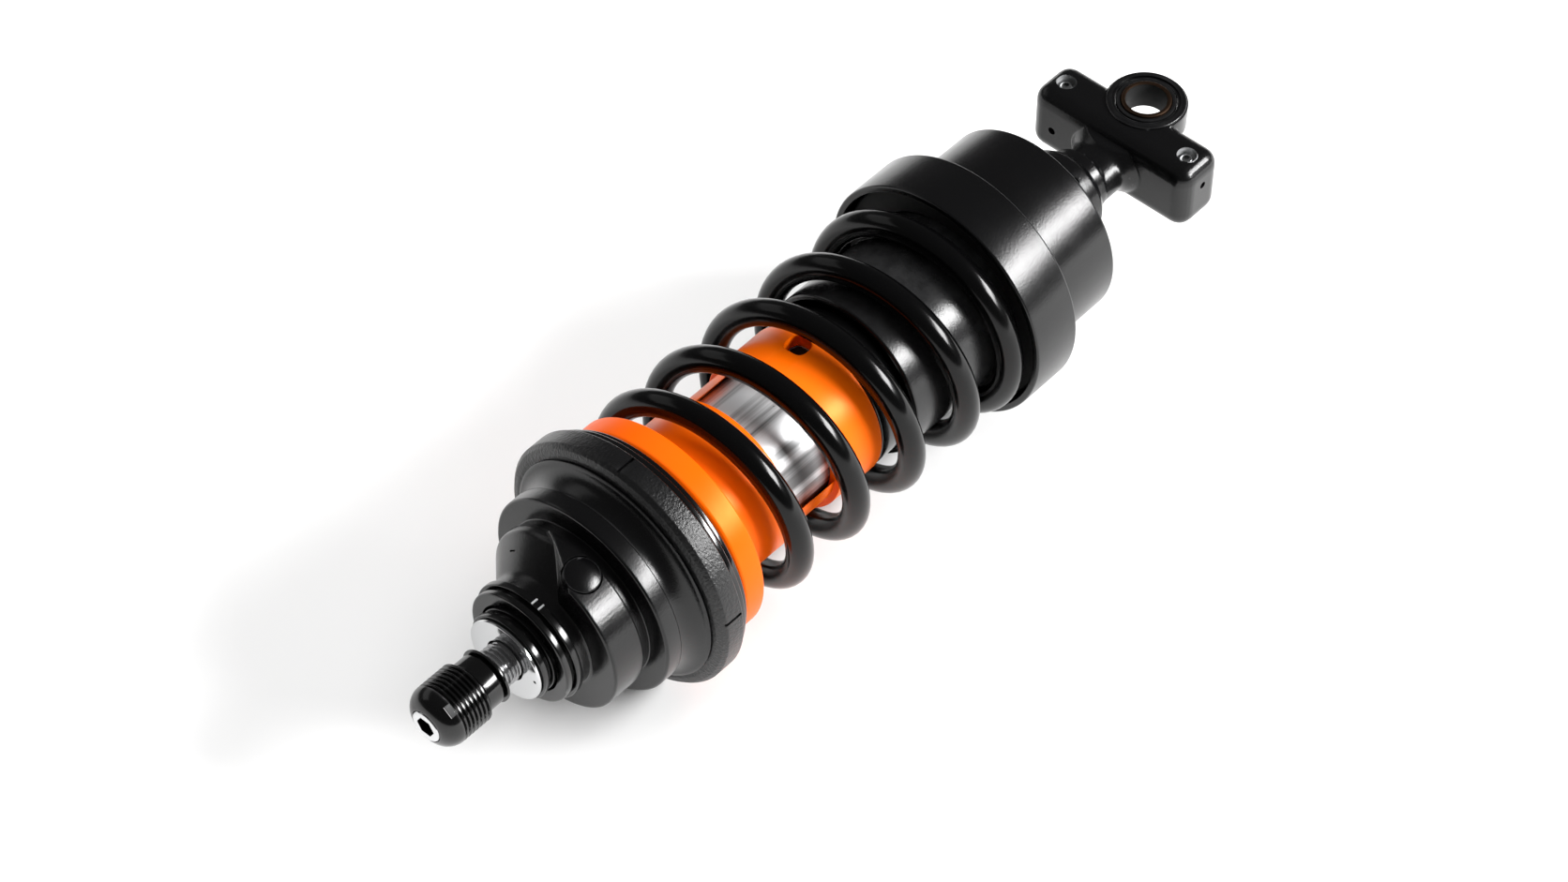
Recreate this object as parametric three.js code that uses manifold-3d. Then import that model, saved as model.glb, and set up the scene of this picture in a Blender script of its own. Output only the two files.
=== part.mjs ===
// A coil-sprung bicycle rear shock, lying on its side with its axis along X.
// Units are millimetres, +Z is up. The threaded stud points to -X and the eye to +X.
import * as THREE from "three";
import { mergeVertices } from "three/addons/utils/BufferGeometryUtils.js";
import Module from "manifold-3d";

const wasm = await Module();
wasm.setup();

// ---- driving dimensions ----------------------------------------------------

const GAP = 0.3; // air left between two pieces that touch
const COLLAR_R = 32; // the largest radius: the axis lies this high above the table

// Stations along the axis, from the datum plane behind the middle of the coil window.
const STUD_TIP = -113;
const COLLAR_FRONT = -54.8;
const COLLAR_BACK = -48.3;
const SEAT_FACE = -37.2; // the spring bears here
const HEAD_SHOULDER = 10.8; // the seal head meets the damper tube here
const CUP_RIM = 51.5;
const BODY_BACK = 86.5;
const EYE_X = 128.5;
const EYE_BOSS_R = 10;
const EYE_TOP = 8.2; // heights of the eye's two faces above the axis
const EYE_BOTTOM = 1.5;
const OVERALL = EYE_X + EYE_BOSS_R - STUD_TIP;

const SPRING = {
  radius: 25.7,
  wire: 6.3,
  turns: 5.5,
  pitch: 18.75,
  closedPitch: 6.6,
  firstAngle: 170,
  cutTurn: 0.125, // the wire is cut off this far past the first angle
};
const TUBE = { outer: 16.5, inner: 14.6, left: -69.4, right: HEAD_SHOULDER - GAP };
const CAGE = {
  outer: 19.8,
  inner: 16.8,
  rib: 18.3,
  windowLeft: -18.6,
  windowRight: -3.5,
  right: HEAD_SHOULDER,
};
const SLEEVE = { outer: 21.6, inner: 20.3, front: 20.5, back: 66 };
const ROD_R = 5;
const DRUM = { radius: 21.4, front: -77.3, back: -68.4 };
const YOKE = { left: 114, right: 128, halfLength: 23.5, top: 7.6, bottom: -10.5 };
const SCREW_X = 121;
const SCREW_Y = [-18.2, 18.2]; // one screw in each arm of the yoke

// The direction, seen along the axis, that the cage's window faces.
const FACE_ANGLE = THREE.MathUtils.degToRad(119.3);
const PLUG = { station: -72.2, angle: FACE_ANGLE - THREE.MathUtils.degToRad(8), radius: 4.1 };

const SMOOTH = 40; // sides of a large round piece
const FINE = 20; // sides of a small one

// ---- finishes --------------------------------------------------------------

const finish = (color, roughness, metalness) =>
  new THREE.MeshStandardMaterial({ color, roughness, metalness });
const FINISH = {
  blackAlloy: finish(0x17181a, 0.38, 0.6),
  greyAlloy: finish(0x2b2c2e, 0.55, 0.5),
  blackGloss: finish(0x0a0a0b, 0.15, 0.2),
  orangeAlloy: finish(0xf26a08, 0.25, 0.8),
  orangeSatin: finish(0xff7a10, 0.5, 0.2),
  chrome: finish(0xe6e8ea, 0.08, 1),
  steel: finish(0x8d9094, 0.3, 1),
  bronze: finish(0xa8793f, 0.35, 1),
  rubber: finish(0x101010, 0.8, 0),
  plainAlloy: finish(0xb9bcc0, 0.35, 1),
};

// ---- solids ----------------------------------------------------------------

/** Six times the signed volume of a triangle mesh, negative when it is inside out. */
function signedVolume(geometry) {
  const p = geometry.getAttribute("position");
  const index = geometry.index.array;
  const [a, b, c] = [new THREE.Vector3(), new THREE.Vector3(), new THREE.Vector3()];
  let sum = 0;
  for (let i = 0; i < index.length; i += 3) {
    a.fromBufferAttribute(p, index[i]);
    b.fromBufferAttribute(p, index[i + 1]);
    c.fromBufferAttribute(p, index[i + 2]);
    sum += a.dot(b.cross(c));
  }
  return sum;
}

/** The geometry with its shared corners merged and its faces turned outwards. */
function closed(geometry) {
  const bare = new THREE.BufferGeometry().setAttribute("position", geometry.getAttribute("position").clone());
  if (geometry.index) bare.setIndex(geometry.index.clone());
  const merged = mergeVertices(bare, 1e-3);
  if (signedVolume(merged) < 0) merged.index.array.reverse();
  return merged;
}

/** The solid that a closed geometry bounds. */
function solidOf(geometry) {
  const g = closed(geometry);
  const vertProperties = new Float32Array(g.getAttribute("position").array);
  const triVerts = new Uint32Array(g.index.array);
  return new wasm.Manifold(new wasm.Mesh({ numProp: 3, vertProperties, triVerts }));
}

/** The geometry that bounds a solid. */
function geometryOf(solid) {
  const mesh = solid.getMesh();
  return new THREE.BufferGeometry()
    .setAttribute("position", new THREE.BufferAttribute(new Float32Array(mesh.vertProperties), 3))
    .setIndex(new THREE.BufferAttribute(new Uint32Array(mesh.triVerts), 1));
}

/** The base geometry joined with the pieces of `add`, then cut by those of `cut`. */
function shaped(base, { add = [], cut = [] }) {
  let solid = solidOf(base);
  for (const piece of add) solid = solid.add(solidOf(piece));
  for (const piece of cut) solid = solid.subtract(solidOf(piece));
  return geometryOf(solid);
}

/** A turned piece: `profile` lists [station, radius] and closes on itself or on the axis. */
function turned(profile, sides = SMOOTH) {
  const points = profile.map(([station, radius]) => new THREE.Vector2(radius, station));
  if (profile.some(([, radius]) => radius > 0) && profile[0][1] > 0) points.push(points[0].clone());
  const lathe = new THREE.LatheGeometry(points, sides, Math.PI / sides);
  return closed(lathe.rotateZ(-Math.PI / 2));
}

/** A plain ring, or a disc when `inner` is 0. */
function ring(left, right, outer, inner = 0, sides = SMOOTH) {
  if (inner === 0) return turned([[left, 0], [left, outer], [right, outer], [right, 0]], sides);
  return turned([[left, inner], [left, outer], [right, outer], [right, inner]], sides);
}

/** A ring whose outer edges are chamfered. */
function chamferedRing(left, right, outer, inner, bevel, sides = SMOOTH) {
  return turned([
    [left, inner], [left, outer - bevel], [left + bevel, outer],
    [right - bevel, outer], [right, outer - bevel], [right, inner],
  ], sides);
}

/** Points of a quarter-like arc from angle `from` to `to` (degrees) about [station, radius]. */
function arc(station, radius, size, from, to, steps) {
  return Array.from({ length: steps + 1 }, (_, i) => {
    const angle = THREE.MathUtils.degToRad(from + ((to - from) * i) / steps);
    return [station + size * Math.cos(angle), radius + size * Math.sin(angle)];
  });
}

/** A round ring of solid rubber or wire. */
function oRing(station, radius, wire) {
  const torus = new THREE.TorusGeometry(radius, wire / 2, 10, FINE);
  return closed(torus.rotateY(Math.PI / 2).translate(station, 0, 0));
}

/** A box given by its centre and its full sizes. */
function block(cx, cy, cz, sx, sy, sz) {
  return new THREE.BoxGeometry(sx, sy, sz).translate(cx, cy, cz);
}

/** A cylinder that stands along Z, from zLow to zHigh. */
function post(x, y, zLow, zHigh, radius, sides = FINE) {
  const cylinder = new THREE.CylinderGeometry(radius, radius, zHigh - zLow, sides).rotateX(Math.PI / 2);
  return cylinder.translate(x, y, (zLow + zHigh) / 2);
}

/** A cylinder that points out from the axis at `angle`, between two radii. */
function radialPin(station, angle, from, to, radius, sides = FINE) {
  const cylinder = new THREE.CylinderGeometry(radius, radius, to - from, sides);
  return cylinder.translate(0, (from + to) / 2, 0).rotateX(angle).translate(station, 0, 0);
}

// ---- the stud end ----------------------------------------------------------

function threadedCap() {
  const crest = 7.5;
  const root = 6.9;
  const pitch = 1;
  const dome = arc(STUD_TIP + 5.6, 2, 5.5, 155, 92, 5);
  const threads = Array.from({ length: 7 }, (_, i) => {
    const x = STUD_TIP + 5.8 + i * pitch;
    return [[x, root], [x + 0.35, crest], [x + 0.65, crest]];
  }).flat();
  const back = STUD_TIP + 12.9;
  const bore = [[back, root], [back, 5.3], [STUD_TIP + 4.3, 5.3], [STUD_TIP + 4.3, 4.3]];
  return turned([...dome, ...threads, ...bore], FINE);
}

function adjusterHex() {
  const body = ring(STUD_TIP, STUD_TIP + 4, 3.9, 0, FINE);
  const socket = new THREE.CylinderGeometry(2.5, 2.5, 4, 6).rotateZ(Math.PI / 2);
  return shaped(body, { cut: [socket.translate(STUD_TIP + 0.8, 0, 0)] });
}

function studShaft() {
  const ridges = Array.from({ length: 4 }, (_, i) => {
    const x = -92.9 + i * 0.9;
    return [[x, 4.6], [x + 0.3, 5], [x + 0.6, 4.6]];
  }).flat();
  return turned([
    [STUD_TIP + 4.7, 1.7], [STUD_TIP + 4.7, 5], [-99.8, 5], [-99.8, 6.3], [-95.7, 6.3], [-95.5, 5.2],
    [-95, 5.2], [-94.9, 6.2], [-94.2, 6.2], [-94.1, 4.6], ...ridges, [-74.9, 4.6], [-74.9, 1.7],
  ], FINE);
}

function seatWasher() {
  const disc = ring(-89.1, -88.3, 10.3, 5.2);
  const hole = new THREE.CylinderGeometry(0.4, 0.4, 2, 12).rotateZ(Math.PI / 2);
  return shaped(disc, { cut: [hole.translate(-88.7, 9 * Math.cos(1.4), 9 * Math.sin(1.4))] });
}

function studBearing() {
  return turned([
    [-86.1, 5.2], [-86.1, 9.6], [-85.2, 9.6], [-85.2, 10.7], [-80.7, 10.7], [-80.7, 5.2],
  ]);
}

function retainerNut() {
  return turned([
    [-84.7, 11.2], [-84.7, 13.9], [-84.3, 14.3], [-83.1, 14.3], [-83.1, 13.6], [-82.3, 13.6],
    [-82.3, 14.7], [-82, 15], [-80.5, 15], [-80.5, 11.2],
  ]);
}

// ---- the damper's fixed side -----------------------------------------------

/** The bell: a cone under a drum whose front is cut off at a slant. */
function valveHousing() {
  const core = turned([
    [-80.2, 5.3], [-80.2, 13.8], [-77.2, 14.2], [-73.4, 18], [-70.8, 20.8], [DRUM.back, 20.9],
    [DRUM.back, 17], [-70.1, 17], [-70.1, 12.2], [-76.4, 12.2], [-76.4, 5.3],
  ]);
  const drum = chamferedRing(DRUM.front, DRUM.back, DRUM.radius, 17, 0.3);
  const slant = Math.atan2(12.2, 18.4);
  const cutter = block(-40, 0, 0, 80, 90, 90).rotateY(slant);
  const placed = cutter.translate(DRUM.front - 1.2, 0, 0).rotateX(FACE_ANGLE - Math.PI);
  const pocket = radialPin(PLUG.station, PLUG.angle, 18.6, 30, PLUG.radius + GAP);
  const cutDrum = shaped(drum, { cut: [placed] });
  return shaped(core, { add: [cutDrum], cut: [pocket] });
}

function bleedPlug() {
  const head = radialPin(PLUG.station, PLUG.angle, 18.9, 21.9, PLUG.radius);
  const slot = block(0, 21.9, 0, 1, 1.2, 5).rotateX(PLUG.angle).translate(PLUG.station, 0, 0);
  return shaped(head, { cut: [slot] });
}

function gasBladder() {
  return turned([
    [-76, 5.4], [-76, 11.4], [-75.4, 11.9], [-70.9, 11.9], [-70.4, 11.4], [-70.4, 10.6],
    [-75, 10.6], [-75, 6.2], [-70.4, 6.2], [-70.4, 5.4],
  ], FINE);
}

function lockRing() {
  return turned([
    [-68.1, 16.8], [-68.1, 20.2], [-65.5, 20.2], [-65.5, 24.9], [-64.9, 25.5], [-61.3, 25.5],
    [-60.9, 25.1], [-60.9, 16.8],
  ]);
}

/** The damper's open end: a flare behind the lock ring and a sleeve under the preload collar. */
function damperHead() {
  const flare = arc(-60.3, 28.9, 4.8, 275, 360, 5);
  return turned([
    [-60.6, 16.8], [-60.6, 24.1], ...flare, [-55.1, 28.9], [-55.1, 22], [-46.3, 22], [-46.3, 16.8],
  ]);
}

function guideCage() {
  const bands = turned([
    [-46, CAGE.inner], [-46, CAGE.outer], [CAGE.windowLeft, CAGE.outer], [CAGE.windowLeft, CAGE.rib],
    [CAGE.windowRight, CAGE.rib], [CAGE.windowRight, CAGE.outer], [CAGE.right, CAGE.outer],
    [CAGE.right, CAGE.inner],
  ]);
  const window = windowCutter(CAGE.windowLeft, CAGE.windowRight);
  const slot = radialPin(7.2, FACE_ANGLE - THREE.MathUtils.degToRad(36), 15, 24, 3, 24);
  return shaped(bands, { cut: [window, slot] });
}

/** A bar that opens the cage towards FACE_ANGLE and its opposite side, leaving two ribs. */
function windowCutter(left, right) {
  const across = 2 * CAGE.outer * Math.sin(THREE.MathUtils.degToRad(57));
  return block((left + right) / 2, 0, 0, right - left, across, 60).rotateX(FACE_ANGLE - Math.PI / 2);
}

function sealHead() {
  const shoulder = arc(17.4, 14.8, 4.8, 90, 0, 4);
  return turned([
    [3.9, 7.1], [3.9, 14.3], [7, 14.3], [7, 12.7], [9, 12.7], [9, 14.3],
    [HEAD_SHOULDER + GAP, 14.3], [HEAD_SHOULDER + GAP, 19.6],
    ...shoulder, [22.2, 8.2], [19.2, 8.2], [19.2, 7.1],
  ]);
}

// ---- the shaft's moving side -----------------------------------------------

/** The main piston: a disc with two rows of ports through it. */
function mainPiston() {
  const disc = turned([
    [-3.2, 3.3], [-3.2, 13.9], [-2.4, 13.9], [-2.4, 13.3], [1.4, 13.3], [1.4, 13.9], [2.2, 13.9], [2.2, 3.3],
  ], FINE);
  const ports = Array.from({ length: 6 }, (_, i) => {
    const angle = (i * Math.PI) / 3;
    const port = new THREE.CylinderGeometry(1.1, 1.1, 8, 12).rotateZ(Math.PI / 2);
    return port.translate(-0.5, 9.5 * Math.cos(angle), 9.5 * Math.sin(angle));
  });
  return shaped(disc, { cut: ports });
}

function pistonNut() {
  const hex = new THREE.CylinderGeometry(5.2, 5.2, 2.6, 6).rotateZ(Math.PI / 2).translate(-6, 0, 0);
  const bore = new THREE.CylinderGeometry(3.3, 3.3, 4, 24).rotateZ(Math.PI / 2).translate(-6, 0, 0);
  return shaped(hex, { cut: [bore] });
}

/** The chromed rod, necked down at its inner end to carry the piston. */
function damperRod() {
  return turned([[-7.8, 0], [-7.8, 3], [4.2, 3], [4.2, ROD_R], [81.3, ROD_R], [81.3, 0]], FINE);
}

function springGuide() {
  const lip = arc(SLEEVE.front + 1.2, SLEEVE.outer - 1.2, 1.2, 180, 90, 3);
  return turned([
    [SLEEVE.front, SLEEVE.inner], ...lip, [SLEEVE.back, SLEEVE.outer], [SLEEVE.back, SLEEVE.inner],
  ]);
}

function springCup() {
  return turned([
    [CUP_RIM, 29.3], [CUP_RIM, 30.7], [CUP_RIM + 0.3, 31], [64.8, 31], [65.2, 30.6], [65.2, 22],
    [58, 22], [58, 29.3],
  ]);
}

function upperBody() {
  return turned([
    [65.5, 21.9], [65.5, 24.6], [65.8, 24.9], [BODY_BACK - 0.5, 24.9], [BODY_BACK, 24.4], [BODY_BACK, 6.3],
    [81.6, 6.3], [81.6, 5.3], [74.6, 5.3], [74.6, 21.9],
  ]);
}

function neckNut() {
  const body = turned([
    [BODY_BACK + GAP, 4.6], [BODY_BACK + GAP, 11.8], [99.8, 11.4], [100.6, 10.6], [100.6, 4.6],
  ], FINE);
  return shaped(body, { cut: [radialPin(94, FACE_ANGLE, 7.4, 15, 1.9, 20)] });
}

/** The outline of the yoke's cross bar, seen along the axis: the lower corners are rounded most. */
function barOutline() {
  const { top, bottom, halfLength: l } = YOKE;
  const lower = 4;
  const upper = 2.2;
  const outline = new THREE.Shape();
  outline.moveTo(-l + upper, top);
  outline.lineTo(l - upper, top);
  outline.quadraticCurveTo(l, top, l, top - upper);
  outline.lineTo(l, bottom + lower);
  outline.quadraticCurveTo(l, bottom, l - lower, bottom);
  outline.lineTo(-l + lower, bottom);
  outline.quadraticCurveTo(-l, bottom, -l, bottom + lower);
  outline.lineTo(-l, top - upper);
  outline.quadraticCurveTo(-l, top, -l + upper, top);
  return outline;
}

/** The T-shaped yoke: neck, cross bar and eye in one forging. */
function yokeBlock() {
  const { left, right, top, bottom, halfLength: l } = YOKE;
  const bevel = 0.8;
  const bar = new THREE.ExtrudeGeometry(barOutline(), {
    depth: right - left - 2 * bevel,
    curveSegments: 4,
    bevelEnabled: true,
    bevelThickness: bevel,
    bevelSize: bevel,
    bevelOffset: -bevel,
    bevelSegments: 2,
  });
  bar.rotateX(Math.PI / 2).rotateZ(Math.PI / 2).translate(left + bevel, 0, 0);
  const neck = turned([
    [82, 0], [82, 4.2], [100.9, 4.2], [100.9, 8], [103, 7.2], [111, 7.2], [115, 6.4], [116, 0],
  ], FINE);
  const boss = post(EYE_X, 0, EYE_BOTTOM, EYE_TOP, EYE_BOSS_R, 32);
  const bore = post(EYE_X, 0, bottom - 1, EYE_TOP + 1, 7.5, 32);
  const relief = post(EYE_X, 0, bottom - 1, EYE_BOTTOM, EYE_BOSS_R, 32);
  const screwHoles = SCREW_Y.map((y) => [
    post(SCREW_X, y, top - 5, top + 1, 2.4, 28),
    post(SCREW_X, y, bottom - 1, top, 1.6, 20),
  ]).flat();
  const lightHole = block(left, 0, 0, 6, 2.2, 2.2).rotateX(0.6).translate(0, 16.5, -2.5);
  const endSlot = block(SCREW_X, -l, 1, 4.4, 3, 1.3);
  return shaped(bar, { add: [neck, boss], cut: [bore, relief, ...screwHoles, lightHole, endSlot] });
}

/** A socket-head screw in one arm of the yoke. */
function yokeScrew(y) {
  const { top, bottom } = YOKE;
  const head = post(SCREW_X, y, top - 4.7, top - 1.2, 2.1, 28);
  const shank = post(SCREW_X, y, bottom + 1.5, top - 4, 1.3, 20);
  const socket = post(SCREW_X, y, top - 2.8, top, 1.1, 6);
  return shaped(head, { add: [shank], cut: [socket] });
}

/** An upright sleeve in the eye, `proud` of its faces at both ends. */
function eyeSleeve(outer, inner, proud = 0) {
  const low = EYE_BOTTOM - proud;
  const high = EYE_TOP + proud;
  const bore = post(EYE_X, 0, low - 1, high + 1, inner, 32);
  return shaped(post(EYE_X, 0, low, high, outer, 32), { cut: [bore] });
}

// ---- the coil spring -------------------------------------------------------

/** How far the wire's centre has climbed after `t` turns from a closed end. */
function climb(t) {
  const rampFrom = 0.4;
  const rampTo = 1.1;
  const slope = (SPRING.pitch - SPRING.closedPitch) / (rampTo - rampFrom);
  const ramp = THREE.MathUtils.clamp(t, rampFrom, rampTo) - rampFrom;
  const beyond = Math.max(t - rampTo, 0);
  return SPRING.closedPitch * (t - beyond) + (slope * ramp * ramp) / 2 + SPRING.pitch * beyond;
}

class SpringCurve extends THREE.Curve {
  getPoint(u, target = new THREE.Vector3()) {
    const t = THREE.MathUtils.lerp(SPRING.cutTurn, SPRING.turns, u);
    const half = SPRING.turns / 2;
    const total = 2 * climb(half);
    const along = t < half ? climb(t) : total - climb(SPRING.turns - t);
    const angle = THREE.MathUtils.degToRad(SPRING.firstAngle) + 2 * Math.PI * t;
    const x = SEAT_FACE + 0.25 + SPRING.wire / 2 + along;
    return target.set(x, SPRING.radius * Math.cos(angle), SPRING.radius * Math.sin(angle));
  }
}

function coilSpring() {
  const section = new THREE.Shape().absarc(0, 0, SPRING.wire / 2, 0, 2 * Math.PI);
  const steps = Math.round(SPRING.turns * 24);
  return new THREE.ExtrudeGeometry(section, { steps, curveSegments: 4, extrudePath: new SpringCurve() });
}

// ---- assembly --------------------------------------------------------------

const shock = new THREE.Group();
shock.name = "rear_shock";
shock.position.set(-(STUD_TIP + OVERALL / 2), 0, COLLAR_R);

function place(name, geometry, material) {
  const mesh = new THREE.Mesh(closed(geometry), material);
  mesh.name = name;
  shock.add(mesh);
}

place("threaded_cap", threadedCap(), FINISH.blackAlloy);
place("adjuster_hex", adjusterHex(), FINISH.chrome);
place("adjuster_spindle", ring(STUD_TIP + 4.3, -66.4, 1.4, 0, 16), FINISH.steel);
place("stud_shaft", studShaft(), FINISH.steel);
place("seat_washer", seatWasher(), FINISH.chrome);
place("dust_ring", chamferedRing(-88, -86.4, 10.9, 5.2, 0.3), FINISH.blackGloss);
place("stud_bearing", studBearing(), FINISH.blackAlloy);
place("retainer_nut", retainerNut(), FINISH.blackGloss);
place("valve_housing", valveHousing(), FINISH.blackAlloy);
place("bleed_plug", bleedPlug(), FINISH.greyAlloy);
place("gas_bladder", gasBladder(), FINISH.rubber);
place("lock_ring", lockRing(), FINISH.blackAlloy);
place("damper_head", damperHead(), FINISH.blackAlloy);
place("damper_tube", ring(TUBE.left, TUBE.right, TUBE.outer, TUBE.inner), FINISH.plainAlloy);
place("base_valve", ring(-69.2, -65.4, 14.3, 1.7), FINISH.plainAlloy);
place("base_shims", ring(-65.1, -64.3, 10, 1.7), FINISH.steel);
place("guide_cage", guideCage(), FINISH.orangeAlloy);
place("seal_head", sealHead(), FINISH.blackGloss);
place("rod_bushing", ring(4.2, 13, 6.8, 5.15, FINE), FINISH.bronze);
place("rod_seal", ring(13.4, 18.4, 6.8, 5.15, FINE), FINISH.rubber);
place("tube_seal", oRing(8, 13.7, 1.4), FINISH.rubber);
place("wiper_seal", ring(19.5, 22.6, 7.9, 5.15, FINE), FINISH.rubber);

const collarCorner = COLLAR_R / Math.cos(Math.PI / SMOOTH); // its flats lie at COLLAR_R
place("preload_collar", chamferedRing(COLLAR_FRONT, COLLAR_BACK, collarCorner, 22.4, 1.2), FINISH.greyAlloy);
place("thrust_washer", chamferedRing(-48, -46.4, 30.8, 22.4, 0.3), FINISH.blackGloss);
place("thrust_race", chamferedRing(-46.1, -44.7, 29.6, 22.4, 0.3), FINISH.blackGloss);
place("spring_seat", chamferedRing(-44.4, SEAT_FACE, 27.8, 20.3, 0.8), FINISH.orangeSatin);
place("coil_spring", coilSpring(), FINISH.blackGloss);

place("damper_rod", damperRod(), FINISH.chrome);
place("piston_nut", pistonNut(), FINISH.steel);
place("rebound_shims", ring(-4.4, -3.5, 7.4, 3.3, FINE), FINISH.steel);
place("main_piston", mainPiston(), FINISH.plainAlloy);
place("piston_band", ring(-2.1, 1.1, 14.5, 13.5, FINE), FINISH.bronze);
place("compression_shims", ring(2.5, 3.2, 7.4, 3.3, FINE), FINISH.steel);
place("spring_guide", springGuide(), FINISH.blackAlloy);
place("spring_isolator", ring(54.7, 57.7, 28.8, 22, SMOOTH), FINISH.rubber);
place("spring_cup", springCup(), FINISH.blackAlloy);
place("upper_body", upperBody(), FINISH.blackAlloy);
place("bump_stop", ring(69.2, 74.3, 11, 5.3, FINE), FINISH.rubber);
place("neck_nut", neckNut(), FINISH.blackAlloy);
place("neck_screw", radialPin(94, FACE_ANGLE, 7.7, 10.4, 1.6, 20), FINISH.steel);
place("yoke_block", yokeBlock(), FINISH.blackAlloy);
place("yoke_screw_left", yokeScrew(SCREW_Y[0]), FINISH.plainAlloy);
place("yoke_screw_right", yokeScrew(SCREW_Y[1]), FINISH.plainAlloy);
place("eye_liner", eyeSleeve(7.2, 6.2), FINISH.blackAlloy);
place("eye_sleeve", eyeSleeve(6.08, 5, 0.4), FINISH.bronze);

export default shock;
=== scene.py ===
"""The looks of a coil-sprung bicycle rear shock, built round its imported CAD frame.

The shock lies on its side with its axis along X: the threaded stud points to -X and the eye to +X.
Sizes in the classes are in millimetres, with stations measured along the axis from a datum plane
near the middle of the shock. The frame's spring seat says where that plane lies.
"""

import logging
import math
from collections.abc import Callable
from dataclasses import dataclass
from enum import Enum

import bpy
from mathutils import Matrix, Vector


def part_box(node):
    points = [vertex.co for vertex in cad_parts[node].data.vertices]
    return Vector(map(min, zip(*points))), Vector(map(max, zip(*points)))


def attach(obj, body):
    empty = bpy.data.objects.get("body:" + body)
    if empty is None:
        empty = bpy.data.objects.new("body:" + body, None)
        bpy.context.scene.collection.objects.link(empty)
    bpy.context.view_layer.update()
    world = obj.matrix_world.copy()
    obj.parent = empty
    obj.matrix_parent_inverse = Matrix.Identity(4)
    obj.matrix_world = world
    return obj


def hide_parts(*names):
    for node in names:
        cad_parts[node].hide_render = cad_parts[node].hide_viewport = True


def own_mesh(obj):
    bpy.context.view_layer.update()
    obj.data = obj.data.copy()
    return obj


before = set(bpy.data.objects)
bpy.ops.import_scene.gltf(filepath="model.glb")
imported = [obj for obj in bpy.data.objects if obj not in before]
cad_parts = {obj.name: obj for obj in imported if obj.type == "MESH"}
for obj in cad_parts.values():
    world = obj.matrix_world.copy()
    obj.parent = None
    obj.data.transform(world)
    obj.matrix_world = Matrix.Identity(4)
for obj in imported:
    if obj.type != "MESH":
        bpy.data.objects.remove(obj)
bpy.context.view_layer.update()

LOG = logging.getLogger("rear_shock")

MM = 0.001
SEAT_FACE = -37.2  # the station of the spring seat's right-hand face
DATUM_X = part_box("spring_seat")[1].x - SEAT_FACE * MM
AXIS_Z = (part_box("preload_collar")[0].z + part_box("preload_collar")[1].z) / 2
FACE_ANGLE = math.radians(119.3)  # the way the drum's plug and the cage's window face, from +Y towards +Z
SIDES = 128  # steps round a large turned piece
FINE_SIDES = 72  # steps round a small one
FILLET_SHARE = 0.48  # the most that a fillet takes up of the lines beside it


class Body(Enum):
    """The rigid bodies that the pieces ride on."""

    DAMPER = "damper"
    ADJUSTER = "adjuster"
    PERCH = "spring_perch"
    COLLAR = "collar"
    SHAFT = "shaft"
    SLEEVE = "pivot_sleeve"


# ---- finishes ------------------------------------------------------------------


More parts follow.
